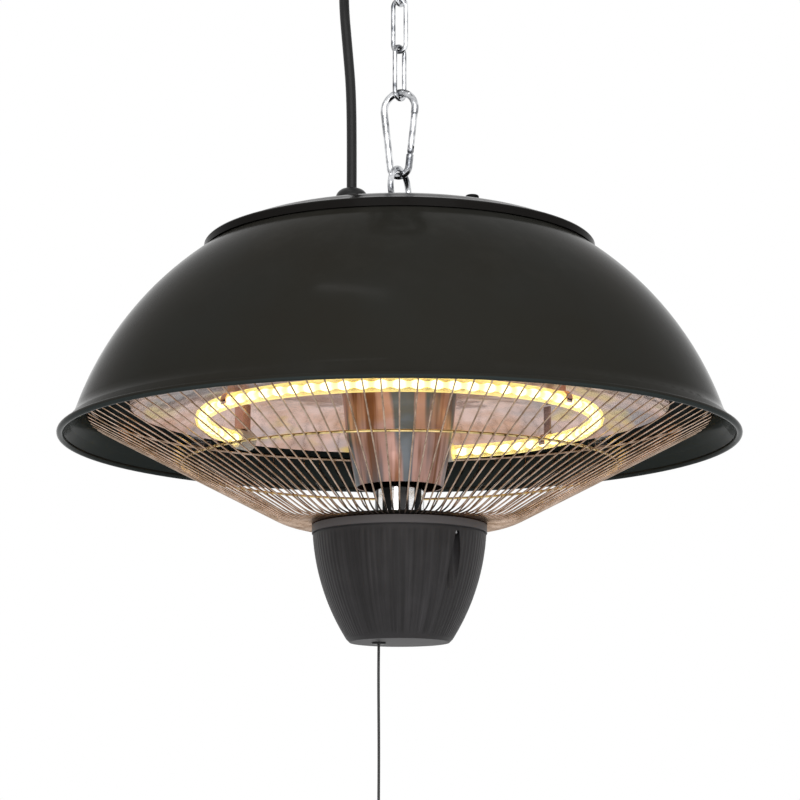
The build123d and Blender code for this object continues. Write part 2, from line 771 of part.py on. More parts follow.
clip_in = lamp_tube_r + fit_gap / 3
clip_top = dish_height(lamp_r + clip_w / 2) - fit_gap
with BuildPart() as lamp_clips:
    for clip_angle in clip_angles:
        with BuildSketch(upright(clip_angle)):
            with Locations((lamp_r, lamp_h)):
                Circle(clip_in + clip_t)
                Circle(clip_in, mode=Mode.SUBTRACT)
            with Locations((lamp_r, lamp_h - clip_in - clip_t)):
                Rectangle(
                    2 * clip_in,
                    2 * (clip_in + clip_t) * (1 - cos(radians(clip_open / 2))),
                    mode=Mode.SUBTRACT,
                )
            with Locations((lamp_r, (lamp_h + clip_in + clip_t / 3 + clip_top) / 2)):
                Rectangle(2 * clip_t, clip_top - lamp_h - clip_in - clip_t / 3)
        extrude(amount=clip_w / 2, both=True)
    for cap_angle in cap_angles:
        tab_h = dish_height(lamp_r + end_tab_w / 2) - fit_gap
        with BuildSketch(level(lamp_h + cap_r)):
            with PolarLocations(lamp_r, 1, start_angle=cap_angle):
                Rectangle(end_tab_w, cap_l / 2)
                Circle(lead_bush_r, mode=Mode.SUBTRACT)
        extrude(amount=tab_h - lamp_h - cap_r)
keep(lamp_clips, "lamp_clips")

with BuildPart() as lamp_leads:
    for cap_angle in cap_angles:
        with BuildLine(upright(cap_angle)) as lead_path:
            FilletPolyline(
                (lamp_r, lamp_h + cap_r),
                (lamp_r, lead_run_h),
                (lead_down_r, lead_run_h),
                (lead_down_r, lead_end_h),
                radius=lead_bend_r,
            )
        with BuildSketch(level(lamp_h + cap_r)):
            with PolarLocations(lamp_r, 1, start_angle=cap_angle):
                Circle(lead_d / 2)
        sweep(path=lead_path.wire())
keep(lamp_leads, "lamp_leads")

# Inner supply lead: from the gland's mouth, through deck and flange, into the tube
supply_x = -6.5
supply_bend_r = 9.0
supply_turn_h = (100.0, 84.0)
with BuildPart() as supply_lead:
    with BuildLine(upright(0)) as supply_path:
        FilletPolyline(
            (gland_x, cord_exit_h - lead_fit),
            (gland_x, supply_turn_h[0]),
            (supply_x, supply_turn_h[1]),
            (supply_x, lead_end_h),
            radius=supply_bend_r,
        )
    with BuildSketch(level(cord_exit_h - lead_fit)):
        with Locations((gland_x, 0)):
            Circle(cord_d / 2)
    sweep(path=supply_path.wire())
keep(supply_lead, "supply_lead")

# Guard: straight radial wires bent in to the cup and up at the shade, welded to two rings
wire_d = 1.0
guard_r = 197.0            # the wires' outer legs
guard_leg_top_h = 21.5
guard_leg_h = 12.0         # foot of the leg, where the cone starts
guard_turn_r = 70.5        # where the cone's line meets the flat inner part
guard_seat_h = cup_top_h + 1.0   # the wires' inner ends, on the lid
guard_in_r = 40.0
guard_bends = (5.0, 40.0)
top_ring_wire = 2.5
middle_ring_wire = 1.6
middle_ring_r = 138.0      # where it crosses the wires
weld_gap = 0.05

guard_slope = atan2(guard_leg_h - guard_seat_h, guard_r - guard_turn_r)
with BuildPart() as one_wire:
    with BuildLine(upright(0)) as wire_path:
        FilletPolyline(
            (guard_r, guard_leg_top_h),
            (guard_r, guard_leg_h),
            (guard_turn_r, guard_seat_h),
            (guard_in_r, guard_seat_h),
            radius=guard_bends,
        )
    with BuildSketch(level(guard_leg_top_h)):
        with Locations((guard_r, 0)):
            Circle(wire_d / 2)
    sweep(path=wire_path.wire())

with BuildPart() as guard_wires:
    with PolarLocations(0, wire_count):
        add(one_wire.part)
keep(guard_wires, "guard_wires")

with BuildPart() as guard_top_ring:
    with Locations((0, 0, rim_z + guard_leg_top_h - top_ring_wire)):
        Torus(guard_r - (wire_d + top_ring_wire) / 2 - weld_gap, top_ring_wire / 2)
keep(guard_top_ring, "guard_top_ring")

ring_off = (wire_d + middle_ring_wire) / 2 + weld_gap
ring_on_wire_h = guard_seat_h + (middle_ring_r - guard_turn_r) * tan(guard_slope)
with BuildPart() as guard_middle_ring:
    with Locations((0, 0, rim_z + ring_on_wire_h + ring_off * cos(guard_slope))):
        Torus(middle_ring_r - ring_off * sin(guard_slope), middle_ring_wire / 2)
keep(guard_middle_ring, "guard_middle_ring")

# Guard clips: four tabs welded to the dome, each over the wires' tops
guard_clip_count = 4
guard_clip_angle = 45.0
guard_clip_w = 12.0
guard_clip_t = 1.2
guard_clip_in = 8.0
guard_clip_up = 9.0
clip_low_h = guard_leg_top_h + weld_gap
clip_high_h = clip_low_h + guard_clip_t + guard_clip_up
with BuildPart() as guard_clips:
    for k in range(guard_clip_count):
        clip_plane = upright(guard_clip_angle + 360 * k / guard_clip_count)
        wall_r = dome_point(clip_high_h, shade_sheet) - fit_gap
        foot_r = dome_point(clip_low_h, shade_sheet) - fit_gap
        with BuildSketch(clip_plane):
            with BuildLine():
                Polyline(
                    (guard_r - guard_clip_in, clip_low_h),
                    (foot_r, clip_low_h),
                    (wall_r, clip_high_h),
                    (wall_r - guard_clip_t, clip_high_h),
                    (foot_r - 2 * guard_clip_t, clip_low_h + guard_clip_t),
                    (guard_r - guard_clip_in, clip_low_h + guard_clip_t),
                    close=True,
                )
            make_face()
        extrude(amount=guard_clip_w / 2, both=True)
keep(guard_clips, "guard_clips")

# Cup: moulded switch housing with two screw grooves, closed above by its lid
cup_wall = 2.0
lip_h = 5.0
groove_deep = 0.8
groove_h = 1.2
cup_side_r = 54.4
cup_mid_shares = (0.886, 0.503)   # of the side radius, and of the height below the groove
cup_low_r = 33.2
cup_bottom_round = 2.0
screw_groove_r = 4.0
screw_groove_at = 50.4
screw_groove_angle = -49.0
screw_groove_count = 2
screw_boss_r = 6.2
screw_boss_t = 3.0
lid_t = 3.0
lid_r = cup_r - cup_wall - fit_gap
screw_groove_l = 40.0
cup_bottom_h = cup_top_h - cup_h
side_top_h = cup_top_h - lip_h - groove_h
side_mid = (
    cup_side_r * cup_mid_shares[0],
    side_top_h - cup_mid_shares[1] * (side_top_h - cup_bottom_h - cup_bottom_round),
)
lid_low_h = lid_top_h - lid_t
groove_top_h = lid_low_h - screw_boss_t
pull_x = -12.9
bush_r = 2.4

with BuildPart() as cup_core:
    with BuildSketch(section):
        with BuildLine():
            Polyline(
                (0, cup_bottom_h + cup_wall),
                (0, cup_top_h + overrun),
                (cup_r - cup_wall, cup_top_h + overrun),
                (cup_r - cup_wall, side_top_h),
            )
            ThreePointArc(
                (cup_r - cup_wall, side_top_h),
                (side_mid[0] - cup_wall, side_mid[1]),
                (cup_low_r - cup_wall, cup_bottom_h + cup_wall + cup_bottom_round),
            )
            Polyline(
                (cup_low_r - cup_wall, cup_bottom_h + cup_wall + cup_bottom_round),
                (cup_low_r - cup_wall - cup_bottom_round, cup_bottom_h + cup_wall),
                (0, cup_bottom_h + cup_wall),
            )
        make_face()
    revolve(axis=Axis.Z)
    with BuildSketch(level(lid_low_h)):
        with PolarLocations(screw_groove_at, screw_groove_count, start_angle=screw_groove_angle):
            Circle(screw_boss_r)
    extrude(amount=-screw_groove_l - screw_boss_t, mode=Mode.SUBTRACT)

with BuildPart() as cup:
    with BuildSketch(section):
        with BuildLine():
            Polyline(
                (0, cup_bottom_h),
                (0, cup_top_h),
                (cup_r, cup_top_h),
                (cup_r, cup_top_h - lip_h),
                (cup_side_r - groove_deep, cup_top_h - lip_h),
                (cup_side_r - groove_deep, side_top_h),
                (cup_side_r, side_top_h),
            )
            ThreePointArc(
                (cup_side_r, side_top_h),
                side_mid,
                (cup_low_r, cup_bottom_h + cup_bottom_round),
            )
            Polyline(
                (cup_low_r, cup_bottom_h + cup_bottom_round),
                (cup_low_r - cup_bottom_round, cup_bottom_h),
                (0, cup_bottom_h),
            )
        make_face()
    revolve(axis=Axis.Z)
    add(cup_core.part, mode=Mode.SUBTRACT)
    with BuildSketch(level(groove_top_h)):
        with PolarLocations(screw_groove_at, screw_groove_count, start_angle=screw_groove_angle):
            Circle(screw_groove_r)
    extrude(amount=-screw_groove_l, mode=Mode.SUBTRACT)
    with BuildSketch(level(groove_top_h - overrun)):
        with PolarLocations(screw_groove_at, screw_groove_count, start_angle=screw_groove_angle):
            Circle(screw_r + fit_gap)
    extrude(amount=screw_boss_t + 2 * overrun, mode=Mode.SUBTRACT)
    with BuildSketch(level(cup_bottom_h - overrun)):
        with Locations((pull_x, 0)):
            Circle(bush_r + lead_fit)
    extrude(amount=cup_wall + 2 * overrun, mode=Mode.SUBTRACT)
keep(cup, "cup")

# Lid: closes the cup, carries the guard wires on its raised land, held on the tube by a nut
land_rs = (41.0, 51.5)
land_h = guard_seat_h - wire_d / 2 - weld_gap
collar_wall = 3.4
collar_top_h = guard_seat_h + 4.0
clamp_rs = (28.0, 50.0)
clamp_t = 2.0
clamp_screw_at = 33.0
clamp_screw_count = 4
clamp_screw_angle = 45.0
clamp_screw_r = 1.5
clamp_head_r = 2.8
clamp_head_h = 1.8
nut_h = 5.0
nut_r = 21.5

with BuildPart() as cup_lid:
    with BuildSketch(level(lid_low_h)):
        Circle(lid_r)
    extrude(amount=lid_t)
    with BuildSketch(level(lid_top_h)):
        Circle(land_rs[1])
        Circle(land_rs[0], mode=Mode.SUBTRACT)
    extrude(amount=land_h - lid_top_h)
    with BuildSketch(level(lid_top_h)):
        Circle(tube_r + collar_wall)
    extrude(amount=collar_top_h - lid_top_h)
    with BuildSketch(level(lid_low_h - overrun)):
        Circle(tube_r + fit_gap)
        with PolarLocations(clamp_screw_at, clamp_screw_count, start_angle=clamp_screw_angle):
            Circle(clamp_screw_r + fit_gap)
    extrude(amount=collar_top_h - lid_low_h + 2 * overrun, mode=Mode.SUBTRACT)
    with BuildSketch(level(lid_low_h)):
        with PolarLocations(screw_groove_at, screw_groove_count, start_angle=screw_groove_angle):
            Circle(clamp_screw_r + fit_gap)
    extrude(amount=land_h - lid_low_h - overrun, mode=Mode.SUBTRACT)
keep(cup_lid, "cup_lid")

with BuildPart() as tube_nut:
    with BuildSketch(level(lid_low_h - run_gap / 2)):
        RegularPolygon(nut_r, 6)
        Circle(tube_r + fit_gap, mode=Mode.SUBTRACT)
    extrude(amount=-nut_h)
keep(tube_nut, "tube_nut")

clamp_low_h = guard_seat_h + wire_d / 2 + weld_gap
with BuildPart() as guard_clamp_ring:
    with BuildSketch(level(clamp_low_h)):
        Circle(clamp_rs[1])
        Circle(clamp_rs[0], mode=Mode.SUBTRACT)
        with PolarLocations(clamp_screw_at, clamp_screw_count, start_angle=clamp_screw_angle):
            Circle(clamp_screw_r + fit_gap, mode=Mode.SUBTRACT)
    extrude(amount=clamp_t)
    fillet(guard_clamp_ring.faces().sort_by(Axis.Z)[-1].outer_wire().edges(), clamp_t / 2)
keep(guard_clamp_ring, "guard_clamp_ring")

with BuildPart() as cup_screws:
    with BuildSketch(level(clamp_low_h + clamp_t)):
        with PolarLocations(clamp_screw_at, clamp_screw_count, start_angle=clamp_screw_angle):
            Circle(clamp_head_r)
    extrude(amount=clamp_head_h)
    fillet(cup_screws.faces().group_by(Axis.Z)[-1].edges(), clamp_head_h / 2)
    with BuildSketch(level(clamp_low_h + clamp_t)):
        with PolarLocations(clamp_screw_at, clamp_screw_count, start_angle=clamp_screw_angle):
            Circle(clamp_screw_r)
    extrude(amount=lid_low_h - clamp_low_h - clamp_t)
    with BuildSketch(level(groove_top_h)):
        with PolarLocations(screw_groove_at, screw_groove_count, start_angle=screw_groove_angle):
            Circle(clamp_head_r)
    extrude(amount=-clamp_head_h)
    with BuildSketch(level(groove_top_h)):
        with PolarLocations(screw_groove_at, screw_groove_count, start_angle=screw_groove_angle):
            Circle(clamp_screw_r)
    extrude(amount=land_h - groove_top_h - 2 * overrun)
keep(cup_screws, "cup_screws")

# Switch: a body on the cup's floor with the pull rod, its return spring, and a bridge on the
# rod that comes down on two fixed contacts
pull_travel = 8.0
switch_floor = 3.0
switch_top_h = cup_top_h - 30.8
switch_y = 22.0
rod_r = 2.0
rod_head_r = 4.5
rod_head_h = 3.0
rod_head_low_h = cup_top_h - 46.5
rod_top_h = cup_top_h - 34.5
rod_bore = 6.0
bore_r = 4.8
switch_wall = 2.2
spring_r = 3.65            # middle of the wire
spring_wire = 0.7
spring_turns = 8
finger_l = 8.2             # arm of the rod, from its axis
finger_w = 3.0
finger_t = 1.2
bridge_at = 6.7            # middle of the bridge, from the rod's axis
bridge_w = 3.0
bridge_l = 12.0
bridge_t = 1.0
bridge_pin_r = 0.5
contact_y = 4.5            # the fixed contacts stand this far to each side
contact_r = 1.4
contact_h = 1.6
contact_stem_r = 0.8
contact_stem_l = 4.0
pocket_gap = 0.7
terminal_r = 1.5
terminal_head_r = 2.4
terminal_head_h = 2.0
terminal_at = (-7.8, 6.0)

cup_floor_h = cup_bottom_h + cup_wall
switch_low_h = cup_floor_h + fit_gap
spring_low_h = switch_low_h + switch_floor
rod_low_h = spring_low_h + pull_travel + run_gap
bridge_x = pull_x + bridge_at
contact_top_h = rod_head_low_h - bridge_t - pull_travel - fit_gap
pocket_low_h = contact_top_h - contact_h
pocket_top_h = rod_head_low_h + finger_t + 2 * pocket_gap
pocket_x = bridge_at + bridge_w / 2 + pocket_gap
switch_x = (pull_x - bore_r - switch_wall, pull_x + pocket_x + switch_wall)

with BuildPart() as switch_body:
    with BuildSketch(level(switch_low_h)):
        with Locations(((switch_x[0] + switch_x[1]) / 2, 0)):
            RectangleRounded(switch_x[1] - switch_x[0], switch_y, switch_wall / 2)
    extrude(amount=switch_top_h - switch_low_h)
    with BuildSketch(level(spring_low_h)):
        with Locations((pull_x, 0)):
            Circle(bore_r)
    extrude(amount=switch_top_h - switch_wall - spring_low_h, mode=Mode.SUBTRACT)
    with BuildSketch(level(switch_low_h - overrun)):
        with Locations((pull_x, 0)):
            Circle(bush_r + lead_fit)
    extrude(amount=switch_floor + 2 * overrun, mode=Mode.SUBTRACT)
    with BuildSketch(level(pocket_low_h)):
        with Locations((pull_x + pocket_x / 2, 0)):
            Rectangle(pocket_x, bridge_l + 2 * pocket_gap)
    extrude(amount=pocket_top_h - pocket_low_h, mode=Mode.SUBTRACT)
    with BuildSketch(level(pocket_low_h)):
        with Locations((bridge_x, contact_y), (bridge_x, -contact_y)):
            Circle(contact_stem_r + fit_gap / 2)
    extrude(amount=-contact_stem_l - overrun, mode=Mode.SUBTRACT)
    with BuildSketch(level(switch_top_h)):
        with Locations((terminal_at[0], terminal_at[1]), (terminal_at[0], -terminal_at[1])):
            Circle(terminal_r + fit_gap)
    extrude(amount=-3 * terminal_r, mode=Mode.SUBTRACT)
keep(switch_body, "switch_body")

with BuildPart() as switch_terminals:
    with BuildSketch(level(switch_top_h)):
        with Locations((terminal_at[0], terminal_at[1]), (terminal_at[0], -terminal_at[1])):
            Circle(terminal_head_r)
    extrude(amount=terminal_head_h)
    with BuildSketch(level(switch_top_h)):
        with Locations((terminal_at[0], terminal_at[1]), (terminal_at[0], -terminal_at[1])):
            Circle(terminal_r)
    extrude(amount=-2 * terminal_r)
keep(switch_terminals, "switch_terminals")

with BuildPart() as contact_bridge:
    with BuildSketch(level(rod_head_low_h - bridge_t)):
        with Locations((bridge_x, 0)):
            Rectangle(bridge_w, bridge_l)
    extrude(amount=bridge_t)
    fillet(contact_bridge.edges().filter_by(Axis.Z), bridge_t / 2)
    with BuildSketch(level(rod_head_low_h)):
        with Locations((bridge_x, 0)):
            Circle(bridge_pin_r)
    extrude(amount=finger_t)
keep(contact_bridge, "contact_bridge")

with BuildPart() as fixed_contacts:
    with BuildSketch(level(pocket_low_h)):
        with Locations((bridge_x, contact_y), (bridge_x, -contact_y)):
            Circle(contact_r)
    extrude(amount=contact_h)
    with BuildSketch(level(pocket_low_h)):
        with Locations((bridge_x, contact_y), (bridge_x, -contact_y)):
            Circle(contact_stem_r)
    extrude(amount=-contact_stem_l)
keep(fixed_contacts, "fixed_contacts")

with BuildPart() as pull_rod:
    with BuildSketch(level(rod_low_h)):
        with Locations((pull_x, 0)):
            Circle(rod_r)
    extrude(amount=rod_top_h - rod_low_h)
    with BuildSketch(level(rod_head_low_h)):
        with Locations((pull_x, 0)):
            Circle(rod_head_r)
    extrude(amount=rod_head_h)
    with BuildSketch(level(rod_head_low_h)):
        with Locations((pull_x + finger_l / 2, 0)):
            Rectangle(finger_l, finger_w)
    extrude(amount=finger_t)
    with BuildSketch(level(rod_head_low_h)):
        with Locations((bridge_x, 0)):
            Circle(bridge_pin_r + fit_gap / 2)
    extrude(amount=finger_t, mode=Mode.SUBTRACT)
    with BuildSketch(level(rod_low_h)):
        with Locations((pull_x, 0)):
            Circle(pull_d / 2 + fit_gap)
    extrude(amount=rod_bore, mode=Mode.SUBTRACT)
keep(pull_rod, "pull_rod")

spring_l = rod_head_low_h - spring_low_h - 2 * fit_gap - spring_wire
with BuildPart() as return_spring:
    with BuildLine(Plane((pull_x, 0, rim_z + spring_low_h + fit_gap + spring_wire / 2))):
        spring_path = Helix(spring_l / spring_turns, spring_l, spring_r)
    with BuildSketch(Plane(origin=spring_path @ 0, z_dir=spring_path % 0)):
        Circle(spring_wire / 2)
    sweep(path=spring_path, is_frenet=True)
keep(return_spring, "return_spring")
spring_wire_l = spring_path.length
print("return_spring volume over section times length",
      round(return_spring.part.volume / (pi * (spring_wire / 2) ** 2 * spring_wire_l), 4))
print("return_spring turn gap", round(spring_l / spring_turns - spring_wire, 2))

bush_flange_r = 4.5
bush_flange_t = 1.2
with BuildPart() as cord_bush:
    with BuildSketch(level(cup_bottom_h)):
        with Locations((pull_x, 0)):
            Circle(bush_flange_r)
    extrude(amount=-bush_flange_t)
    fillet(cord_bush.faces().sort_by(Axis.Z)[0].edges(), bush_flange_t / 2)
    with BuildSketch(level(cup_bottom_h)):
        with Locations((pull_x, 0)):
            Circle(bush_r)
    extrude(amount=spring_low_h - cup_bottom_h)
    with BuildSketch(level(cup_bottom_h - 2 * bush_flange_t)):
        with Locations((pull_x, 0)):
            Circle(pull_d / 2 + run_gap)
    extrude(amount=4 * switch_floor + 2 * cup_wall, mode=Mode.SUBTRACT)
keep(cord_bush, "cord_bush")

# Pull cord and its knob
pull_end_h = -246.0
knob_top_h = -236.0
knob_points = ((0, -262.0), (5.6, -262.0), (7.0, -259.5), (3.1, -238.0))
knob_seat = 10.3           # depth of the cord's hole
with BuildPart() as pull_cord:
    with BuildSketch(level(pull_end_h)):
        with Locations((pull_x, 0)):
            Circle(pull_d / 2)
    extrude(amount=rod_low_h + rod_bore - fit_gap - pull_end_h)
keep(pull_cord, "pull_cord")

with BuildPart() as pull_knob:
    with BuildSketch(Plane(origin=(pull_x, 0, rim_z), x_dir=(1, 0, 0), z_dir=(0, -1, 0))):
        with BuildLine():
            Polyline(knob_points[0], knob_points[1])
            ThreePointArc(knob_points[1], ((knob_points[1][0] + knob_points[2][0]) / 2 + fit_gap,
                          (knob_points[1][1] + knob_points[2][1]) / 2 - fit_gap), knob_points[2])
            Spline(knob_points[2], knob_points[3], tangents=[(0, 1), (-0.1, 1)])
            Polyline(knob_points[3], (pull_d, knob_top_h), (0, knob_top_h), knob_points[0])
        make_face()
    revolve(axis=Axis((pull_x, 0, 0), (0, 0, 1)))
    with BuildSketch(level(knob_top_h + overrun)):
        with Locations((pull_x, 0)):
            Circle(pull_d / 2 + fit_gap)
    extrude(amount=-knob_seat - overrun, mode=Mode.SUBTRACT)
keep(pull_knob, "pull_knob")

# Terminal block in the cup and the leads between tube, switch and block
block_x = (8.0, 27.0)
block_y = 18.0
block_h = 12.0
block_ways = ((13.5, 5.0), (13.5, -5.0), (21.5, 5.0), (21.5, -5.0))
core_d = 2.0
core_bend_r = 2.5
core_off = 1.3             # the supply lead's two cores, either side of its middle
block_top_h = switch_low_h + block_h
core_start_h = lead_end_h - run_gap
with BuildPart() as terminal_block:
    with BuildSketch(level(switch_low_h)):
        with Locations(((block_x[0] + block_x[1]) / 2, 0)):
            Rectangle(block_x[1] - block_x[0], block_y)
    extrude(amount=block_h)
    fillet(terminal_block.edges().filter_by(Axis.Z), switch_wall / 2)
    with BuildSketch(level(block_top_h)):
        with Locations(*block_ways):
            Circle(core_d / 2 + fit_gap)
    extrude(amount=-block_h / 2, mode=Mode.SUBTRACT)
keep(terminal_block, "terminal_block")

lamp_ends = [(lead_down_r * cos(radians(a)), lead_down_r * sin(radians(a))) for a in cap_angles]
cross_hs = (cup_top_h - 15.0, cup_top_h - 18.0, cup_top_h - 21.0)
block_in_h = block_top_h - block_h / 3
terminal_h = switch_top_h + terminal_head_h + lead_fit
core_routes = (
    (
        (supply_x - core_off, 0, core_start_h),
        (supply_x - core_off, 0, cross_hs[0]),
        (terminal_at[0], -terminal_at[1], (cross_hs[1] + cross_hs[2]) / 2),
        (terminal_at[0], -terminal_at[1], terminal_h),
    ),
    (
        (terminal_at[0], terminal_at[1], terminal_h),
        (terminal_at[0], terminal_at[1], cross_hs[2]),
        (*block_ways[0], cross_hs[2]),
        (*block_ways[0], block_in_h),
    ),
    (
        (supply_x + core_off, 0, core_start_h),
        (supply_x + core_off, 0, cross_hs[2]),
        (*block_ways[1], cross_hs[2]),
        (*block_ways[1], block_in_h),
    ),
    (
        (*lamp_ends[0], core_start_h),
        (*lamp_ends[0], cross_hs[0]),
        (*block_ways[2], cross_hs[0]),
        (*block_ways[2], block_in_h),
    ),
    (
        (*lamp_ends[1], core_start_h),
        (*lamp_ends[1], cross_hs[1]),
        (*block_ways[3], cross_hs[1]),
        (*block_ways[3], block_in_h),
    ),
)
with BuildPart() as cup_leads:
    for route in core_routes:
        with BuildLine() as core_path:
            FilletPolyline(*[(x, y, rim_z + h) for x, y, h in route], radius=core_bend_r)
        core_wire = core_path.wire()
        with BuildSketch(Plane(origin=core_wire @ 0, z_dir=core_wire % 0)):
            Circle(core_d / 2)
        sweep(path=core_wire)
keep(cup_leads, "cup_leads")

# Mains cord: up from the gland, wound in a flat hank round the chain, and out to the plug
tangent_share = 0.45       # of the shorter run that a bend takes on each side
turn_share = 0.49          # radius of a half turn's two bends, of its width
cord_run_way = (
    (gland_x, 0.0, 0.0),
    (-30.8, 0.0, 0.182),
    (-31.4, 0.4, 0.39),
    (-33.6, 1.0, 0.544),
    (-36.6, 2.0, 0.74),
    (-36.3, 13.0, 0.924),
    (-36.3, 32.0, 1.0),
    (-36.3, 44.0, 1.0),
)                          # x, y and share of the climb from the gland to the hank
hank_mid_h = link_top[1] - link_mid_l / 2 - rim_z
hank_layer = 3.65
hank_left = (-36.3, -28.9, -21.5)
hank_right = (32.7, 25.3)
hank_end = 56.0            # where the half turns start
hank_ramp = (44.0, 10.0)   # the waist is drawn in between these
hank_draw = 11.1


def bends(points):
    """Bend radii of a cord's route, from its runs and turns."""
    radii = []
    spots = [Vector(*p) for p in points]
    for a, b, c in zip(spots, spots[1:], spots[2:]):
        turn = (b - a).get_angle(c - b)
        radii.append(tangent_share * min((b - a).length, (c - b).length) / tan(radians(turn / 2)))
    return radii


def placed(points):
    """Points of a cord, from heights above the rim to the part's frame."""
    return [(x, y, rim_z + h) for x, y, h in points]


def tube_along(path, d):
    """A round cord along a path."""
    wire = path.wire()
    with BuildSketch(Plane(origin=wire @ 0, z_dir=wire % 0)) as cut:
        Circle(d / 2)
    sweep(sections=cut.sketch, path=wire)


def report_tube(name, part, path, d, radii):
    """Print a cord's length, its least bends and its volume against section times length."""
    wire = path.wire()
    share = part.volume / (pi * (d / 2) ** 2 * wire.length)
    print(name, "length", round(wire.length, 1), "bend radii", [round(r, 1) for r in radii],
          "volume over section times length", round(share, 4))


def hank_run(x, start_h, end_h, way):
    """Route of one run of the hank, drawn in at the waist, heading along +Y or -Y."""
    inner = x - hank_draw if x > 0 else x + hank_draw
    ys = (-hank_end, -hank_ramp[0], -hank_ramp[1], hank_ramp[1], hank_ramp[0], hank_end)
    xs = (x, x, inner, inner, x, x)
    points = []
    for k, (px, y) in enumerate(zip(xs, ys)):
        share = (min(max(y, -hank_ramp[0]), hank_ramp[0]) + hank_ramp[0]) / (2 * hank_ramp[0])
        points.append((px, way * y, start_h + (end_h - start_h) * share))
    return points


low_h = hank_mid_h - hank_layer
high_h = hank_mid_h + hank_layer
cord_run_points = [(x, y, cord_exit_h + (low_h - cord_exit_h) * share) for x, y, share in cord_run_way]
hank_runs = (
    (hank_right[0], low_h, low_h),
    (hank_left[1], low_h, low_h),
    (hank_right[1], low_h, low_h),
    (hank_left[2], low_h, high_h),
    (hank_right[1], high_h, high_h),
    (hank_left[1], high_h, high_h),
    (hank_right[0], high_h, high_h),
)

with BuildPart() as power_cord_run:
    run_radii = bends(cord_run_points)
    with BuildLine() as cord_run_path:
        FilletPolyline(*placed(cord_run_points), radius=run_radii)
    tube_along(cord_run_path, cord_d)
keep(power_cord_run, "power_cord_run")
report_tube("power_cord_run", power_cord_run.part, cord_run_path, cord_d, run_radii)

hank_points = [(hank_left[0], hank_ramp[0], low_h)]
hank_radii = []
lane_x = hank_left[0]
for x, start_h, end_h in (*hank_runs, (hank_left[0], high_h, high_h)):
    side = 1 if x > lane_x else -1
    turn_y = side * (hank_end + abs(x - lane_x) / 2)
    hank_points += [(lane_x, turn_y, start_h), (x, turn_y, start_h)]
    hank_radii += 2 * [turn_share * abs(x - lane_x)]
    if x != hank_left[0]:
        lane = hank_run(x, start_h, end_h, -side)
        hank_points += lane[1:-1]
        hank_radii += bends(lane)
    lane_x = x
hank_last = (hank_left[0], cord_d - hank_end, high_h)
hank_points.append(hank_last)

with BuildPart() as power_cord_hank:
    with BuildLine() as hank_path:
        FilletPolyline(*placed(hank_points), radius=hank_radii)
    tube_along(hank_path, cord_d)
keep(power_cord_hank, "power_cord_hank")
report_tube("power_cord_hank", power_cord_hank.part, hank_path, cord_d, [min(hank_radii)])

hank_wire = hank_path.wire()
hank_l = hank_wire.length
sample_step = cord_d / 2
samples = [hank_wire.position_at(k * sample_step / hank_l) for k in range(int(hank_l / sample_step))]
least = min(
    (samples[a] - samples[b]).length
    for a in range(len(samples))
    for b in range(a + int(pi * hank_right[1] / sample_step), len(samples))
)
print("power_cord_hank least self-gap", round(least - cord_d, 2))

# Plug: round mains plug with two pins, lying on the hank
plug_r = 18.0
plug_rear_r = 7.0
plug_l = 50.0
plug_y = 22.0
plug_x = -34.5
pin_r = 2.4
pin_l = 19.0
pin_pitch = 19.0
pin_in = 8.0
plug_shares = (0.16, 0.56)   # of the plug's length: the grip ends, the full body starts
grip_lean = (0.2, 1.0)
cord_in = 3.0
plug_h = high_h + cord_d / 2 + plug_r + run_gap
tail_points = (
    hank_last,
    (hank_left[0], -34.0, high_h),
    (plug_x, 4.0, plug_h),
    (plug_x, plug_y + cord_in, plug_h),
)
with BuildPart() as power_cord_tail:
    tail_radii = bends(tail_points)
    with BuildLine() as tail_path:
        FilletPolyline(*placed(tail_points), radius=tail_radii)
    tube_along(tail_path, cord_d)
keep(power_cord_tail, "power_cord_tail")
report_tube("power_cord_tail", power_cord_tail.part, tail_path, cord_d, tail_radii)
print("mains cord total", round(cord_run_path.wire().length + hank_l + tail_path.wire().length, 1))

plug_axis = Axis((plug_x, 0, rim_z + plug_h), (0, 1, 0))


def plug_face(y):
    """The plane across the plug at this distance along it, facing its pins."""
    return Plane(origin=(plug_x, y, rim_z + plug_h), x_dir=(1, 0, 0), z_dir=(0, 1, 0))


with BuildPart() as plug_body:
    with BuildSketch(Plane(origin=(plug_x, plug_y, rim_z + plug_h), x_dir=(1, 0, 0), z_dir=(0, 0, 1))):
        with BuildLine():
            grip_y = plug_l * plug_shares[0]
            full_y = plug_l * plug_shares[1]
            Polyline((cord_d / 2 + lead_fit, 0), (plug_rear_r, 0), (plug_rear_r, grip_y))
            Spline((plug_rear_r, grip_y), (plug_r, full_y), tangents=[grip_lean, grip_lean])
            Polyline(
                (plug_r, full_y),
                (plug_r, plug_l - overrun),
                (plug_r - overrun, plug_l),
                (0, plug_l),
                (0, cord_in + lead_fit),
                (cord_d / 2 + lead_fit, cord_in + lead_fit),
                (cord_d / 2 + lead_fit, 0),
            )
        make_face()
    revolve(axis=plug_axis)
    with BuildSketch(plug_face(plug_y + plug_l)):
        with Locations((0, pin_pitch / 2), (0, -pin_pitch / 2)):
            Circle(pin_r + lead_fit)
    extrude(amount=-pin_in, mode=Mode.SUBTRACT)
keep(plug_body, "plug_body")

with BuildPart() as plug_pins:
    with BuildSketch(plug_face(plug_y + plug_l - pin_in + lead_fit)):
        with Locations((0, pin_pitch / 2), (0, -pin_pitch / 2)):
            Circle(pin_r)
    extrude(amount=pin_l + pin_in)
    fillet(plug_pins.faces().filter_by(Axis.Y).group_by(Axis.Y)[-1].edges(), pin_r / 2)
keep(plug_pins, "plug_pins")

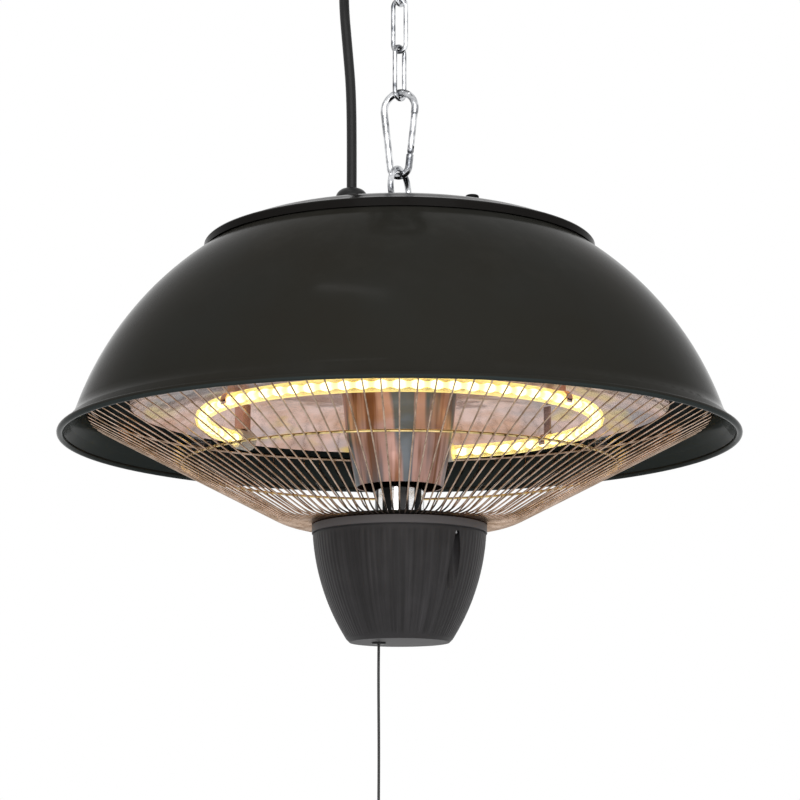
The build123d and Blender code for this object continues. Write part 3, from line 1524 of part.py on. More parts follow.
# Two ties round the hank's waist, either side of the chain
tie_at = 7.5
tie_w = 4.6
tie_t = 1.3
tie_head = (6.0, 3.6)      # length along the band and height
tie_head_x = 12.0
tie_slack = 0.8
tie_in_x = (
    hank_left[1] + hank_draw - cord_d / 2 - tie_slack,
    hank_right[0] - hank_draw + cord_d / 2 + tie_slack,
)
tie_in_h = hank_layer + cord_d / 2 + fit_gap
with BuildPart() as cable_ties:
    for y in (-tie_at, tie_at):
        with BuildSketch(Plane(origin=(0, y, rim_z + hank_mid_h), x_dir=(1, 0, 0), z_dir=(0, -1, 0))):
            tie_l = tie_in_x[1] - tie_in_x[0]
            with Locations(((tie_in_x[0] + tie_in_x[1]) / 2, 0)):
                RectangleRounded(tie_l + 2 * tie_t, 2 * (tie_in_h + tie_t), cord_d / 2 + tie_t)
                RectangleRounded(tie_l, 2 * tie_in_h, cord_d / 2, mode=Mode.SUBTRACT)
            with Locations((tie_head_x, tie_in_h + tie_head[1] / 2)):
                Rectangle(*tie_head)
        extrude(amount=tie_w / 2, both=True)
keep(cable_ties, "cable_ties")

for name, part in written.items():
    box = part.bounding_box()
    print(name, "solids", len(part.solids()), "low", box.min, "high", box.max)
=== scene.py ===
"""Looks of a hanging electric patio heater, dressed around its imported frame.

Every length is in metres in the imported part's own frame: the origin is the middle of the
ceiling plate's top face, +Z is up and +Y leads away from the near side.
"""

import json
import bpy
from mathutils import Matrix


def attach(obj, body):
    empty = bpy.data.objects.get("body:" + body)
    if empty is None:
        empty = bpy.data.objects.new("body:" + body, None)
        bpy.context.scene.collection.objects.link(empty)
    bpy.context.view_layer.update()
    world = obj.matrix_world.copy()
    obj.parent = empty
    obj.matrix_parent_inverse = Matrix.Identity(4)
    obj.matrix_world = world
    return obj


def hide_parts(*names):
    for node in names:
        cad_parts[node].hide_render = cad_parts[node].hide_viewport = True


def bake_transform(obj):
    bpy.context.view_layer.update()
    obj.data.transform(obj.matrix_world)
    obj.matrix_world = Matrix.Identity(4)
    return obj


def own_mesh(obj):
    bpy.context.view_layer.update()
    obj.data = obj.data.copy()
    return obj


bl_info = {
    "name": "Hanging Patio Heater",
    "version": (1, 0, 0),
    "blender": (4, 5, 0),
    "location": "3D View > Sidebar > Heater",
    "description": "Builds the finishes and soft pieces of a hanging patio heater",
    "category": "Object",
}

from math import cos, pi, radians, sin

import bpy
from bpy.props import FloatProperty, FloatVectorProperty, PointerProperty
from mathutils import Vector

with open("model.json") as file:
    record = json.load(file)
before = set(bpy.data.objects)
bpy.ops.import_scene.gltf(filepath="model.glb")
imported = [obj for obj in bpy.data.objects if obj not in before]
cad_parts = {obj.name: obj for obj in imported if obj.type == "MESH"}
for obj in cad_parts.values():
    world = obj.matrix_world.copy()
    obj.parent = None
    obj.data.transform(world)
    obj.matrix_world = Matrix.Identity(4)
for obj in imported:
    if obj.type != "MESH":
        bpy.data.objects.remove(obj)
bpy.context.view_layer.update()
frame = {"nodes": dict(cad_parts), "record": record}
nodes = frame["nodes"]

RIM = -0.423706  # height of the shade's rim
SEEN_RAYS = ("Is Camera Ray", "Is Glossy Ray", "Is Transmission Ray")

# The cup, in metres below the rim: where its painted lip highlight and its flutes start, and where
# they are full
CUP_LIP_HIGHLIGHT = (0.0598, 0.0590)
FLUTES_TOP = (0.0607, 0.0640)
FLUTES_FOOT = (0.1254, 0.1230)
FLUTE_COUNT = 96

# The centre tube's painted reflection bands, and how far they are turned
TUBE_BANDS = 9
TUBE_BANDS_TURN = 3.25

# The filament's bright beads in a full turn and how much thinner it is between them
COIL_BEADS = 72
COIL_WAIST = 0.45

# Steps along the lamp's ring
COIL_STEPS = 450
GLASS_STEPS = 120

# The floor's half width, its own tones, and the white that is added where it is seen
FLOOR_REACH = 60.0
FLOOR_TONES = ((0.78, 0.78, 0.78), (0.84, 0.84, 0.84))
FLOOR_WHITE = (0.72, 0.72, 0.72)

# The camera: how far it stands beside the axis, its sensor in millimetres, its nearest and farthest
CAMERA_ASIDE = 0.0003
CAMERA_SENSOR = 36.0
CAMERA_CLIP = (0.05, 50.0)

# The light from all round, and the softboxes
WORLD_LIGHT = 0.30
RIM_MIDDLE = (0.0, 0.0, RIM)
CUP_MIDDLE = (0.0, 0.0, RIM - 0.08)
LAMPS = (  # name, place, target, width and height, watts
    ("Left softbox", (-0.5, -2.5, 0.3), RIM_MIDDLE, (1.2, 1.2), 17.0),
    ("Right softbox", (0.8, -2.4, 0.3), RIM_MIDDLE, (1.2, 1.2), 19.0),
    ("Top strip", (-0.3, -0.5, 1.0), RIM_MIDDLE, (0.5, 0.02), 1.2),
    ("Low fill", (0.0, -2.0, -1.2), CUP_MIDDLE, (2.0, 0.6), 9.0),
)

# The mains cord's route: x, y and height above the rim, from the gland to the plug
CORD_LOW, CORD_HIGH = 0.334725, 0.342025
CORD_RUN = (
    (-0.0308, 0.0, 0.163773),
    (-0.0308, 0.0, 0.194886),
    (-0.0314, 0.0004, 0.230444),
    (-0.0336, 0.0010, 0.256771),
    (-0.0366, 0.0020, 0.290277),
    (-0.0363, 0.0130, 0.321733),
    (-0.0363, 0.0320, CORD_LOW),
)
CORD_LANES = (
    (0.0327, CORD_LOW, CORD_LOW),
    (-0.0289, CORD_LOW, CORD_LOW),
    (0.0253, CORD_LOW, CORD_LOW),
    (-0.0215, CORD_LOW, CORD_HIGH),
    (0.0253, CORD_HIGH, CORD_HIGH),
    (-0.0289, CORD_HIGH, CORD_HIGH),
    (0.0327, CORD_HIGH, CORD_HIGH),
    (-0.0363, CORD_HIGH, CORD_HIGH),
)
LANE_START = -0.0363
LANE_END = 0.056
LANE_WAIST = ((0.044, 0.0), (0.010, 0.0111), (-0.010, 0.0111), (-0.044, 0.0))
CORD_TAIL = (
    (-0.0363, -0.0495, CORD_HIGH),
    (-0.0363, -0.0340, CORD_HIGH),
    (-0.0345, 0.0040, 0.363575),
    (-0.0345, 0.0250, 0.363575),
)

# The pull cord's route, from the cup to the knob
PULL_RUN = (
    (-0.0129, 0.0, -0.1081),
    (-0.0129, 0.0, -0.124),
    (-0.0131, 0.0002, -0.150),
    (-0.0127, -0.0002, -0.195),
    (-0.0129, 0.0, -0.232),
    (-0.0129, 0.0, -0.246),
)


class Value:
    """A shader socket that adds Math nodes when it stands in an expression."""

    def __init__(self, shader, socket):
        self.shader = shader
        self.socket = socket

    def _math(self, operation, first, second):
        return self.shader.add("ShaderNodeMath", {"operation": operation}, {0: first, 1: second})

    def __add__(self, other):
        return self._math("ADD", self, other)

    def __radd__(self, other):
        return self._math("ADD", other, self)

    def __sub__(self, other):
        return self._math("SUBTRACT", self, other)

    def __mul__(self, other):
        return self._math("MULTIPLY", self, other)

    def __truediv__(self, other):
        return self._math("DIVIDE", self, other)

    def __pow__(self, other):
        return self._math("POWER", self, other)

    def sine(self):
        return self.shader.add("ShaderNodeMath", {"operation": "SINE"}, {0: self})

    def cosine(self):
        return self.shader.add("ShaderNodeMath", {"operation": "COSINE"}, {0: self})


class Shader:
    """A material's node tree, written as expressions on its sockets."""

    def __init__(self, name):
        self.material = bpy.data.materials.new(name)
        self.material.use_nodes = True
        self.tree = self.material.node_tree
        self.tree.nodes.clear()

    def add(self, kind, settings=None, inputs=None, output=0):
        """Adds a node of any kind, sets it, joins its inputs and returns one output."""
        node = self.tree.nodes.new(kind)
        for key, setting in (settings or {}).items():
            setattr(node, key, setting)
        for key, given in (inputs or {}).items():
            socket = node.inputs[key]
            if isinstance(given, Value):
                self.tree.links.new(given.socket, socket)
            elif socket.type == "RGBA":
                socket.default_value = (*given, 1.0)
            else:
                socket.default_value = given
        return Value(self, node.outputs[output])

    def place(self):
        """Position on the object, in metres."""
        return self.add("ShaderNodeTexCoord", output="Object")

    def split(self, vector):
        """The x, y and z of a vector."""
        return [self.add("ShaderNodeSeparateXYZ", None, {0: vector}, axis) for axis in range(3)]

    def join(self, x, y=0.0, z=0.0):
        """The vector of an x, a y and a z."""
        return self.add("ShaderNodeCombineXYZ", None, {0: x, 1: y, 2: z})

    def noise(self, scale, detail=3.0, roughness=0.5, vector=None):
        """Smooth noise from 0 to 1; scale is in waves per metre."""
        inputs = {"Scale": scale, "Detail": detail, "Roughness": roughness}
        inputs["Vector"] = vector or self.place()
        return self.add("ShaderNodeTexNoise", {"noise_dimensions": "3D"}, inputs)

    def stretch(self, factors):
        """The place, scaled along each axis."""
        inputs = {0: self.place(), 1: factors}
        return self.add("ShaderNodeVectorMath", {"operation": "MULTIPLY"}, inputs)

    def spread(self, value, low, high):
        """Maps the range from low to high onto 0 to 1 and holds it there."""
        inputs = {"Value": value, "From Min": low, "From Max": high}
        return self.add("ShaderNodeMapRange", {"clamp": True}, inputs)

    def blend(self, mask, first, second):
        """One colour where the mask is 0 and another where it is 1."""
        return self.add("ShaderNodeMix", {"data_type": "RGBA"}, {0: mask, 6: first, 7: second}, 2)

    def bump(self, height, strength, distance, normal=None):
        """A normal that follows a height."""
        inputs = {"Height": height, "Strength": strength, "Distance": distance}
        if normal is not None:
            inputs["Normal"] = normal
        return self.add("ShaderNodeBump", None, inputs)

    def seen(self):
        """1 for what the camera sees, also in metal or through glass, and 0 for other rays."""
        camera, glossy, through = [self.add("ShaderNodeLightPath", output=ray) for ray in SEEN_RAYS]
        return self.spread(camera + glossy + through, 0.0, 1.0)

    def finish(self, **sockets):
        """Joins a Principled shader with these sockets to the output."""
        inputs = {}
        for name, given in sockets.items():
            inputs[name.replace("_", " ").title().replace("Ior", "IOR")] = given
        return self.out(self.add("ShaderNodeBsdfPrincipled", None, inputs))

    def out(self, surface):
        """Joins a surface to the output."""
        node = self.tree.nodes.new("ShaderNodeOutputMaterial")
        self.tree.links.new(surface.socket, node.inputs["Surface"])
        return self.material


def times(colour, factor):
    """A colour, lighter or darker."""
    return tuple(c * factor for c in colour)


def around(shader):
    """Angle round the heater's axis in turns, distance from it and height."""
    x, y, z = shader.split(shader.place())
    angle = shader.add("ShaderNodeMath", {"operation": "ARCTAN2"}, {0: y, 1: x}) / (2 * pi)
    radius = (x * x + y * y) ** 0.5
    return angle, radius, z


def gloss_paint(name, colour, tint, roughness, peel, dust, underside_painted_light=None):
    """Stoved gloss paint: uneven, with faint orange peel, smears and a little dust on top.

    The last argument is a painted lighter, cooler tone for faces that look down, standing in for
    light on the shade's inside.
    """
    s = Shader(name)
    cloud = s.spread(s.noise(6.0, 4.0), 0.35, 0.65)
    body = s.blend(cloud, colour, tint)
    up = s.split(s.add("ShaderNodeNewGeometry", output="Normal"))[2]
    film = s.spread(up, 0.45, 1.0) * s.spread(s.noise(60.0, 5.0, 0.65), 0.45, 0.8) * dust
    body = s.blend(film, body, (0.16, 0.155, 0.14))
    if underside_painted_light:
        # painted light: faces that look down take a lighter, cooler tone
        body = s.blend(s.spread(up, -0.02, -0.30), body, underside_painted_light)
    smear = s.spread(s.noise(18.0, 5.0, 0.6, s.stretch((1.0, 1.0, 0.35))), 0.35, 0.7)
    return s.finish(
        base_color=body,
        roughness=roughness + smear * 0.08 + film * 0.3,
        specular_ior_level=0.012,
        normal=s.bump(s.noise(420.0, 2.0) + s.noise(900.0, 2.0) * 0.3, peel, 0.0004),
    )


def cup_moulding(name, colour, light):
    """The switch cup: satin grey moulding with fine upright flutes below its groove, painted shade
    in the flutes, painted light and dark streaks over them, and a painted highlight on its lip.
    """
    s = Shader(name)
    angle, _, height = around(s)
    edges = (CUP_LIP_HIGHLIGHT, FLUTES_TOP, FLUTES_FOOT)
    lip_highlight, top, foot = [s.spread(height, RIM - start, RIM - full) for start, full in edges]
    side = top * foot
    flutes = (angle * (2 * pi * FLUTE_COUNT)).sine()
    fine = s.noise(1500.0, 2.0, 0.6)
    tone = s.spread(s.noise(30.0, 5.0, 0.6), 0.3, 0.7)
    base = s.blend(tone, colour, light)
    streaks = s.noise(1.0, 2.0, 0.6, s.join(angle * 60.0, height * 9.0))
    # painted shade: the flutes' troughs are darker
    base = s.blend(s.spread(flutes, -0.2, -1.0) * side * 0.16, base, times(colour, 0.45))
    # painted shade and painted highlights: darker and paler upright streaks over the flutes
    base = s.blend(s.spread(streaks, 0.5, 0.62) * side * 0.5, base, times(colour, 0.55))
    base = s.blend(s.spread(streaks, 0.44, 0.34) * side * 0.4, base, times(light, 1.5))
    # painted highlight: the lip band is made much paler, for light on its rounded edge
    base = s.blend(lip_highlight, base, times(light, 2.4))
    return s.finish(
        base_color=base,
        roughness=0.46 + (fine - 0.5) * 0.10 + tone * 0.05,
        specular_ior_level=0.12,
        normal=s.bump(fine, 0.10, 0.0003, s.bump(flutes * side, 0.3, 0.0004)),
    )


def metal(name, colour, shade, roughness, grain=700.0, pits=0.15, turned=False):
    """Bare or plated metal with a random darker tone, and fine grain or, where turned, fine rings;
    the darker tone is wear, and in the bright zinc a painted dark reflection.
    """
    s = Shader(name)
    # darker tone: wear, and in the bright zinc a painted dark reflection
    tone = s.spread(s.noise(75.0, 6.0, 0.7), 0.38, 0.62)
    base = s.blend(tone, colour, shade)
    if turned:
        angle, radius, height = around(s)
        rings = s.join(radius * 2600.0, height * 2600.0, angle * 3.0)
        lines = s.noise(1.0, 2.0, 0.6, rings)
    else:
        lines = s.noise(grain, 3.0, 0.6)
    return s.finish(
        base_color=base,
        metallic=1.0,
        roughness=roughness + (lines - 0.5) * 0.12 + tone * 0.06,
        normal=s.bump(lines, pits, 0.0002),
    )


def reflector_metal(name, colour, tint, cool, roughness, streaks=False):
    """Copper-toned reflector sheet: wavy, with spun lines, brown patches that are partly heat tint
    and partly painted reflection, painted reflections of cool grey surroundings and painted gold
    reflections of the lamp.

    With streaks the brown patches and the cool painted reflections run up and down the piece, and
    there is no painted gold.
    """
    s = Shader(name)
    angle, radius, height = around(s)
    wave = s.noise(14.0, 3.0, 0.55)
    spun = s.noise(1.0, 2.0, 0.5, s.join(radius * 900.0, height * 900.0, angle * 2.0))
    if streaks:
        along = s.join(angle * 22.0, height * 9.0)
        aside = s.join(angle * 15.0 + 3.0, height * 7.0, 4.0)
        heat_tint_and_reflection = s.spread(s.noise(1.0, 3.0, 0.55, along), 0.46, 0.58)
        cool_reflection_patch = s.spread(s.noise(1.0, 2.0, 0.5, aside), 0.50, 0.60)
    else:
        heat_tint_and_reflection = s.spread(s.noise(26.0, 4.0, 0.6), 0.4, 0.66)
        cool_reflection_patch = s.spread(wave, 0.50, 0.66) * 0.75
    # brown tint: partly heat tint, partly painted brown-orange reflection; cool patches: painted
    # reflection of grey surroundings
    base = s.blend(heat_tint_and_reflection, colour, tint)
    base = s.blend(cool_reflection_patch, base, cool)
    if not streaks:
        # painted reflection: gold patches stand in for the lamp's yellow light in the sheet
        gold_lamp_reflection = s.spread(s.noise(19.0, 2.0, 0.5, s.stretch((1.0, 1.0, 3.0))), 0.58, 0.66)
        base = s.blend(gold_lamp_reflection * 0.7, base, (0.62, 0.46, 0.12))
    return s.finish(
        base_color=base,
        metallic=1.0,
        roughness=roughness + spun * 0.10,
        normal=s.bump(spun, 0.08, 0.0004, s.bump(wave, 0.55, 0.010)),
    )


def moulded(name, colour, roughness, grain=0.12, scale=1400.0):
    """Moulded plastic or rubber with a fine spark grain and slight tone changes."""
    s = Shader(name)
    tone = s.spread(s.noise(18.0, 4.0), 0.3, 0.7)
    fine = s.noise(scale, 2.0, 0.6)
    base = s.blend(tone, times(colour, 0.88), times(colour, 1.12))
    return s.finish(
        base_color=base,
        roughness=roughness + (fine - 0.5) * 0.12 + tone * 0.05,
        specular_ior_level=0.18,
        normal=s.bump(fine, grain, 0.0003),
    )


def polished_tube(name, dark, bright):
    """The centre tube: polished steel with long dark and bright painted reflection bands along it.
    """
    s = Shader(name)
    angle, _, height = around(s)
    bands = (angle * (2 * pi * TUBE_BANDS) + TUBE_BANDS_TURN).cosine()
    fine = s.noise(1.0, 2.0, 0.6, s.join(angle * 40.0, height * 1800.0))
    return s.finish(
        # painted reflection: the dark and bright bands in the base colour stand in for the
        # surroundings mirrored in the tube
        base_color=s.blend(s.spread(bands, 0.30, 0.55), dark, bright),
        metallic=1.0,
        roughness=0.07 + (fine - 0.5) * 0.06,
        normal=s.bump(fine, 0.05, 0.0002),
    )


def glowing_coil(name, hot, cool, strength):
    """The filament: bright beads with deeper yellow between them."""
    s = Shader(name)
    angle, _, _ = around(s)
    beads = (angle * (2 * pi * COIL_BEADS)).cosine()
    return s.finish(
        base_color=(0.9, 0.8, 0.5),
        roughness=0.6,
        emission_color=s.blend(s.spread(beads, -0.9, 0.3), cool, hot),
        emission_strength=strength,
    )


def quartz_glass(name):
    """Thin clear quartz: see-through, with a painted yellow glow that is brightest at its edge."""
    s = Shader(name)
    clear = s.add("ShaderNodeBsdfTransparent", None, {"Color": (1.0, 0.98, 0.86)})
    glass = {"Base Color": (1.0, 0.93, 0.66), "Roughness": 0.06}
    # painted glow: yellow emission on the glass, strongest where it is seen edge-on, stands in for
    # the filament's light in the quartz
    glow = {"Emission Color": (1.0, 0.80, 0.16), "Emission Strength": 0.55}
    gloss = s.add("ShaderNodeBsdfPrincipled", None, {**glass, **glow})
    painted_glow_edge = s.add("ShaderNodeLayerWeight", None, {"Blend": 0.45}, 1)
    return s.out(s.add("ShaderNodeMixShader", None, {0: painted_glow_edge * 0.5 + 0.12, 1: clear, 2: gloss}))


def braid(name, colour):
    """Fine braided cord, painted darker in the grooves of its weave."""
    s = Shader(name)
    _, _, z = s.split(s.place())
    weave = (z * 5200.0).sine() * 0.5 + 0.5
    return s.finish(
        # painted shade: the weave's grooves are darker
        base_color=s.blend(weave, times(colour, 0.6), colour),
        roughness=0.75,
        normal=s.bump(weave, 0.5, 0.0003),
    )


def tube(name, points, radius, resolution, sides=16, swell=None):
    """A smooth round cord along a route of control points; swell scales its radius at each."""
    curve = bpy.data.curves.new(name, "CURVE")
    curve.dimensions = "3D"
    spline = curve.splines.new("NURBS")
    spline.points.add(len(points) - 1)
    for point, place in zip(spline.points, points):
        point.co = (*place, 1.0)
    if swell:
        for point, scale in zip(spline.points, swell):
            point.radius = scale
    spline.order_u = 3
    spline.use_endpoint_u = True
    spline.resolution_u = resolution
    curve.bevel_depth = radius
    curve.bevel_resolution = sides // 4
    curve.use_fill_caps = True
    piece = bpy.data.objects.new(name, curve)
    bpy.context.scene.collection.objects.link(piece)
    return piece


def line_of(piece):
    """Points along a cord's own centre line."""
    bare = piece.copy()
    bare.data = piece.data.copy()
    bare.data.bevel_depth = 0.0
    bpy.context.scene.collection.objects.link(bare)
    bpy.context.view_layer.update()
    mesh = bpy.data.meshes.new_from_object(bare)
    points = [tuple(v.co) for v in mesh.vertices]
    bpy.data.objects.remove(bare)
    return points


def as_mesh(piece):
    """Turns a bevelled curve into a mesh piece of the same name."""
    bpy.context.view_layer.update()
    mesh = bpy.data.meshes.new_from_object(piece)
    name = piece.name
    bpy.data.objects.remove(piece)
    solid = bpy.data.objects.new(name, mesh)
    mesh.name = name
    bpy.context.scene.collection.objects.link(solid)
    for face in mesh.polygons:
        face.use_smooth = True
    return solid


def dress(piece, material):
    """Gives a piece its only material."""
    piece.data.materials.clear()
    piece.data.materials.append(material)


def paint_node(name, material):
    """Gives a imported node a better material."""
    node = nodes[name]
    if not node.material_slots:
        node.data.materials.append(material)
    for slot in node.material_slots:
        slot.material = material


def studio_world():
    """Even light from all round, which the camera, metal and glass see as white."""
    world = bpy.data.worlds.new("Studio")
    world.use_nodes = True
    tree = world.node_tree
    tree.nodes.clear()
    path = tree.nodes.new("ShaderNodeLightPath")
    shown = path.outputs[SEEN_RAYS[0]]
    for ray in SEEN_RAYS[1:]:
        either = tree.nodes.new("ShaderNodeMath")
        either.operation = "MAXIMUM"
        tree.links.new(shown, either.inputs[0])
        tree.links.new(path.outputs[ray], either.inputs[1])
        shown = either.outputs[0]
    mix = tree.nodes.new("ShaderNodeMixShader")
    tree.links.new(shown, mix.inputs[0])
    for place, strength in ((1, WORLD_LIGHT), (2, 1.0)):
        background = tree.nodes.new("ShaderNodeBackground")
        background.inputs["Color"].default_value = (1.0, 1.0, 1.0, 1.0)
        background.inputs["Strength"].default_value = strength
        tree.links.new(background.outputs[0], mix.inputs[place])
    out = tree.nodes.new("ShaderNodeOutputWorld")
    tree.links.new(mix.outputs[0], out.inputs["Surface"])
    return world


def cord_route():
    """The whole mains cord's control points, in the part's frame."""
    points = list(CORD_RUN)
    x = LANE_START
    for lane, start, end in CORD_LANES:
        side = 1 if lane > x else -1
        turn = side * (LANE_END + abs(lane - x) / 2)
        points += [(x, turn, start), (lane, turn, start)]
        if lane != LANE_START:
            pull = -1 if lane > 0 else 1
            for y, drawn in LANE_WAIST:
                share = (LANE_WAIST[0][0] - y) / (2 * LANE_WAIST[0][0])
                points.append((lane + pull * drawn, side * y, start + (end - start) * share))
        x = lane
    return [(x, y, RIM + h) for x, y, h in (*points, *CORD_TAIL)]


def length_setting(name, text, default):
    """A length among the add-on's settings."""
    return FloatProperty(name=name, description=text, default=default, unit="LENGTH")


def angle_setting(name, text, degrees):
    """An angle among the add-on's settings."""
    return FloatProperty(name=name, description=text, default=radians(degrees), subtype="ANGLE")


def colour_setting(name, text, default):
    """A colour among the add-on's settings."""
    return FloatVectorProperty(name=name, description=text, default=default, subtype="COLOR")


class CordSettings(bpy.types.PropertyGroup):
    """Sizes and colours of the cords."""

    mains_diameter: length_setting("Mains cord", "Diameter of the mains cord", 0.0065)
    pull_diameter: length_setting("Pull cord", "Diameter of the pull cord", 0.0017)
    rubber_colour: colour_setting("Rubber", "Colour of the mains cord", (0.017, 0.017, 0.017))


class PaintSettings(bpy.types.PropertyGroup):
    """Colours of the painted and moulded pieces."""

    shade_colour: colour_setting("Shade", "Gloss paint of the shade", (0.025, 0.0225, 0.0175))
    shade_tint: colour_setting("Shade tint", "Cooler patches of the paint", (0.028, 0.0285, 0.0255))
    # Painted light on the shade's inside: a lighter, cooler tone for faces that look down
    shade_inside_painted_light: colour_setting("Shade inside", "The paint's underside", (0.034, 0.042, 0.041))
    cover_colour: colour_setting("Cover", "Paint of the top cover", (0.011, 0.010, 0.009))
    cup_colour: colour_setting("Cup", "Moulded switch cup", (0.028, 0.0265, 0.027))
    # Pale colour: random worn patches of the cup, and the base of its painted highlights
    cup_worn_and_highlight: colour_setting("Cup, worn and highlights", "Paler patches of the cup", (0.046, 0.044, 0.046))
    copper_colour: colour_setting("Reflector", "Copper tone of the reflector", (0.66, 0.47, 0.41))


class LampSettings(bpy.types.PropertyGroup):
    """Sizes and light of the lamp."""

    glow: FloatProperty(
        name="Glow", description="Strength of the filament's light", default=3.0, min=0.0
    )
    coil_radius: length_setting("Coil", "Radius of the filament's coil", 0.0029)
    tube_radius: length_setting("Tube", "Radius of the quartz tube", 0.0046)


class ViewSettings(bpy.types.PropertyGroup):
    """The camera's place and lens."""

    distance: length_setting("Distance", "Camera in front of the axis", 1.5664)
    drop: length_setting("Drop", "Camera below the rim", 0.2664)
    pitch: angle_setting("Pitch", "Camera's upward tilt", 10.58)
    lens: FloatProperty(name="Lens", description="Focal length", default=113.17, unit="CAMERA")


class HEATER_OT_finishes(bpy.types.Operator):
    """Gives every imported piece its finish"""

    bl_idname = "heater.finishes"
    bl_label = "Finishes"

    def execute(self, context):
        paint = context.scene.heater_paint
        cords = context.scene.heater_cords
        screws = (0.010, 0.010, 0.010)
        # painted reflection: the bright zinc's near-black patches stand in for dark surroundings
        # mirrored in it
        zinc = metal("Bright zinc", (0.80, 0.81, 0.83), (0.10, 0.105, 0.115), 0.12, 500.0, 0.35)
        plate = metal("Plate zinc", (0.70, 0.71, 0.73), (0.54, 0.55, 0.57), 0.26)
        steel = metal("Plain steel", (0.55, 0.55, 0.56), (0.42, 0.42, 0.43), 0.30)
        # painted reflection: the guard wires' warm brown colours stand in for the lamp and
        # reflector mirrored in the chrome
        chrome = metal(
            "Guard wire chrome", (0.44, 0.33, 0.26), (0.20, 0.13, 0.08), 0.12, 900.0, 0.05
        )
        # painted reflection: the middle ring's gold stands in for the lamp's yellow light mirrored
        # in it
        warm_ring = metal("Warm ring", (0.74, 0.58, 0.27), (0.34, 0.24, 0.10), 0.12, 900.0, 0.05)
        # the centre tube's steel carries painted reflection bands
        tube_steel = polished_tube("Polished tube", (0.012, 0.012, 0.012), (0.92, 0.92, 0.92))
        # the reflector and the cone carry painted reflections in their brown, cool and gold patches
        copper = reflector_metal(
            "Copper reflector", tuple(paint.copper_colour),
            (0.50, 0.27, 0.16), (0.20, 0.22, 0.25), 0.16,
        )
        cone = reflector_metal(
            "Copper cone", (0.46, 0.28, 0.24),
            (0.20, 0.09, 0.05), (0.11, 0.12, 0.13), 0.30, streaks=True,
        )
        back_sheet = metal(
            "Aluminised sheet", (0.66, 0.67, 0.68), (0.52, 0.53, 0.54), 0.34, turned=True
        )
        gloss = gloss_paint(
            "Shade gloss", tuple(paint.shade_colour), tuple(paint.shade_tint),
            0.10, 0.05, 0.10, tuple(paint.shade_inside_painted_light),
        )
        cover = gloss_paint(
            "Cover gloss", tuple(paint.cover_colour), (0.015, 0.014, 0.013), 0.12, 0.04, 0.08
        )
        black = gloss_paint("Black screws", screws, times(screws, 1.4), 0.30, 0.03, 0.05)
        cup = cup_moulding("Cup moulding", tuple(paint.cup_colour), tuple(paint.cup_worn_and_highlight))
        nylon = moulded("Black nylon", (0.018, 0.018, 0.018), 0.34)
        rubber = moulded("Cord rubber", tuple(cords.rubber_colour), 0.40, 0.06)
        silicone = moulded("Heatproof lead", (0.55, 0.50, 0.45), 0.60)
        ceramic = moulded("Lamp ceramic", (0.78, 0.74, 0.66), 0.55, 0.2)
        cream = moulded("Switch moulding", (0.70, 0.66, 0.56), 0.40)
        brass = metal("Brass", (0.72, 0.52, 0.22), (0.55, 0.38, 0.15), 0.24)
        by_slot = {
            "zinc": zinc, "steel": steel, "chrome": chrome, "copper": copper, "brass": brass,
            "aluminium": back_sheet, "shade_paint": gloss, "cover_paint": cover,
            "black_steel": black, "moulded": cup, "nylon": nylon, "rubber": rubber,
            "silicone": silicone, "ceramic": ceramic, "bakelite": cream,
            "quartz": ceramic, "tungsten": steel, "pull_cord": rubber,
        }
        for part in frame["record"]["subparts"]:
            paint_node(part["node"], by_slot[part["material_slot"]])
        by_node = {
            "centre_tube": tube_steel, "ceiling_plate": plate, "reflector_cone": cone,
            "lamp_clips": copper, "guard_middle_ring": warm_ring,
        }
        for name, material in by_node.items():
            paint_node(name, material)
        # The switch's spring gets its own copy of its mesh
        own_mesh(nodes["return_spring"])
        return {"FINISHED"}


class HEATER_OT_lamp(bpy.types.Operator):
    """Makes the glowing filament and its quartz tube"""

    bl_idname = "heater.lamp"
    bl_label = "Lamp"

    start: angle_setting("Start", "First end of the ring", 73.0)
    sweep: angle_setting("Sweep", "Clockwise reach of the ring", 283.0)
    radius: length_setting("Ring", "Middle of the ring", 0.1245)
    height: length_setting("Height", "Ring above the rim", 0.0124)

    def ring(self, name, radius, steps, depth=0.0):
        """A piece along the lamp's ring; depth is how far its radius shrinks between beads."""
        points, swell = [], []
        for k in range(steps + 1):
            a = self.start - self.sweep * k / steps
            points.append((self.radius * cos(a), self.radius * sin(a), RIM + self.height))
            swell.append(1.0 - depth * (0.5 - 0.5 * cos(a * COIL_BEADS)))
        return as_mesh(tube(name, points, radius, resolution=3, swell=swell))

    def execute(self, context):
        lamp = context.scene.heater_lamp
        coil = self.ring("filament_coil", lamp.coil_radius, COIL_STEPS, COIL_WAIST)
        glow = glowing_coil("Filament glow", (1.0, 0.90, 0.52), (1.0, 0.66, 0.16), lamp.glow)
        dress(coil, glow)
        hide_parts("lamp_filament")
        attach(coil, "heater")
        glass = self.ring("quartz_tube", lamp.tube_radius, GLASS_STEPS)
        dress(glass, quartz_glass("Quartz"))
        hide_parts("lamp_ring")
        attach(glass, "heater")
        return {"FINISHED"}


class HEATER_OT_cords(bpy.types.Operator):
    """Makes the mains cord and the pull cord"""

    bl_idname = "heater.cords"
    bl_label = "Cords"

    def execute(self, context):
        cords = context.scene.heater_cords
        route = cord_route()
        curve = tube("mains_cord", route, cords.mains_diameter / 2, resolution=8)
        path = line_of(curve)
        cord = as_mesh(curve)
        dress(cord, nodes["power_cord_run"].material_slots[0].material)
        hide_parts("power_cord_run", "power_cord_hank", "power_cord_tail")
        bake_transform(cord)
        pull_route = [(x, y, RIM + h) for x, y, h in PULL_RUN]
        pull = tube(
            "pull_cord_line", pull_route, cords.pull_diameter / 2, resolution=12, sides=8
        )
        dress(pull, braid("Pull cord braid", (0.05, 0.05, 0.05)))
        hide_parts("pull_cord")
        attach(pull, "pull")
        return {"FINISHED"}


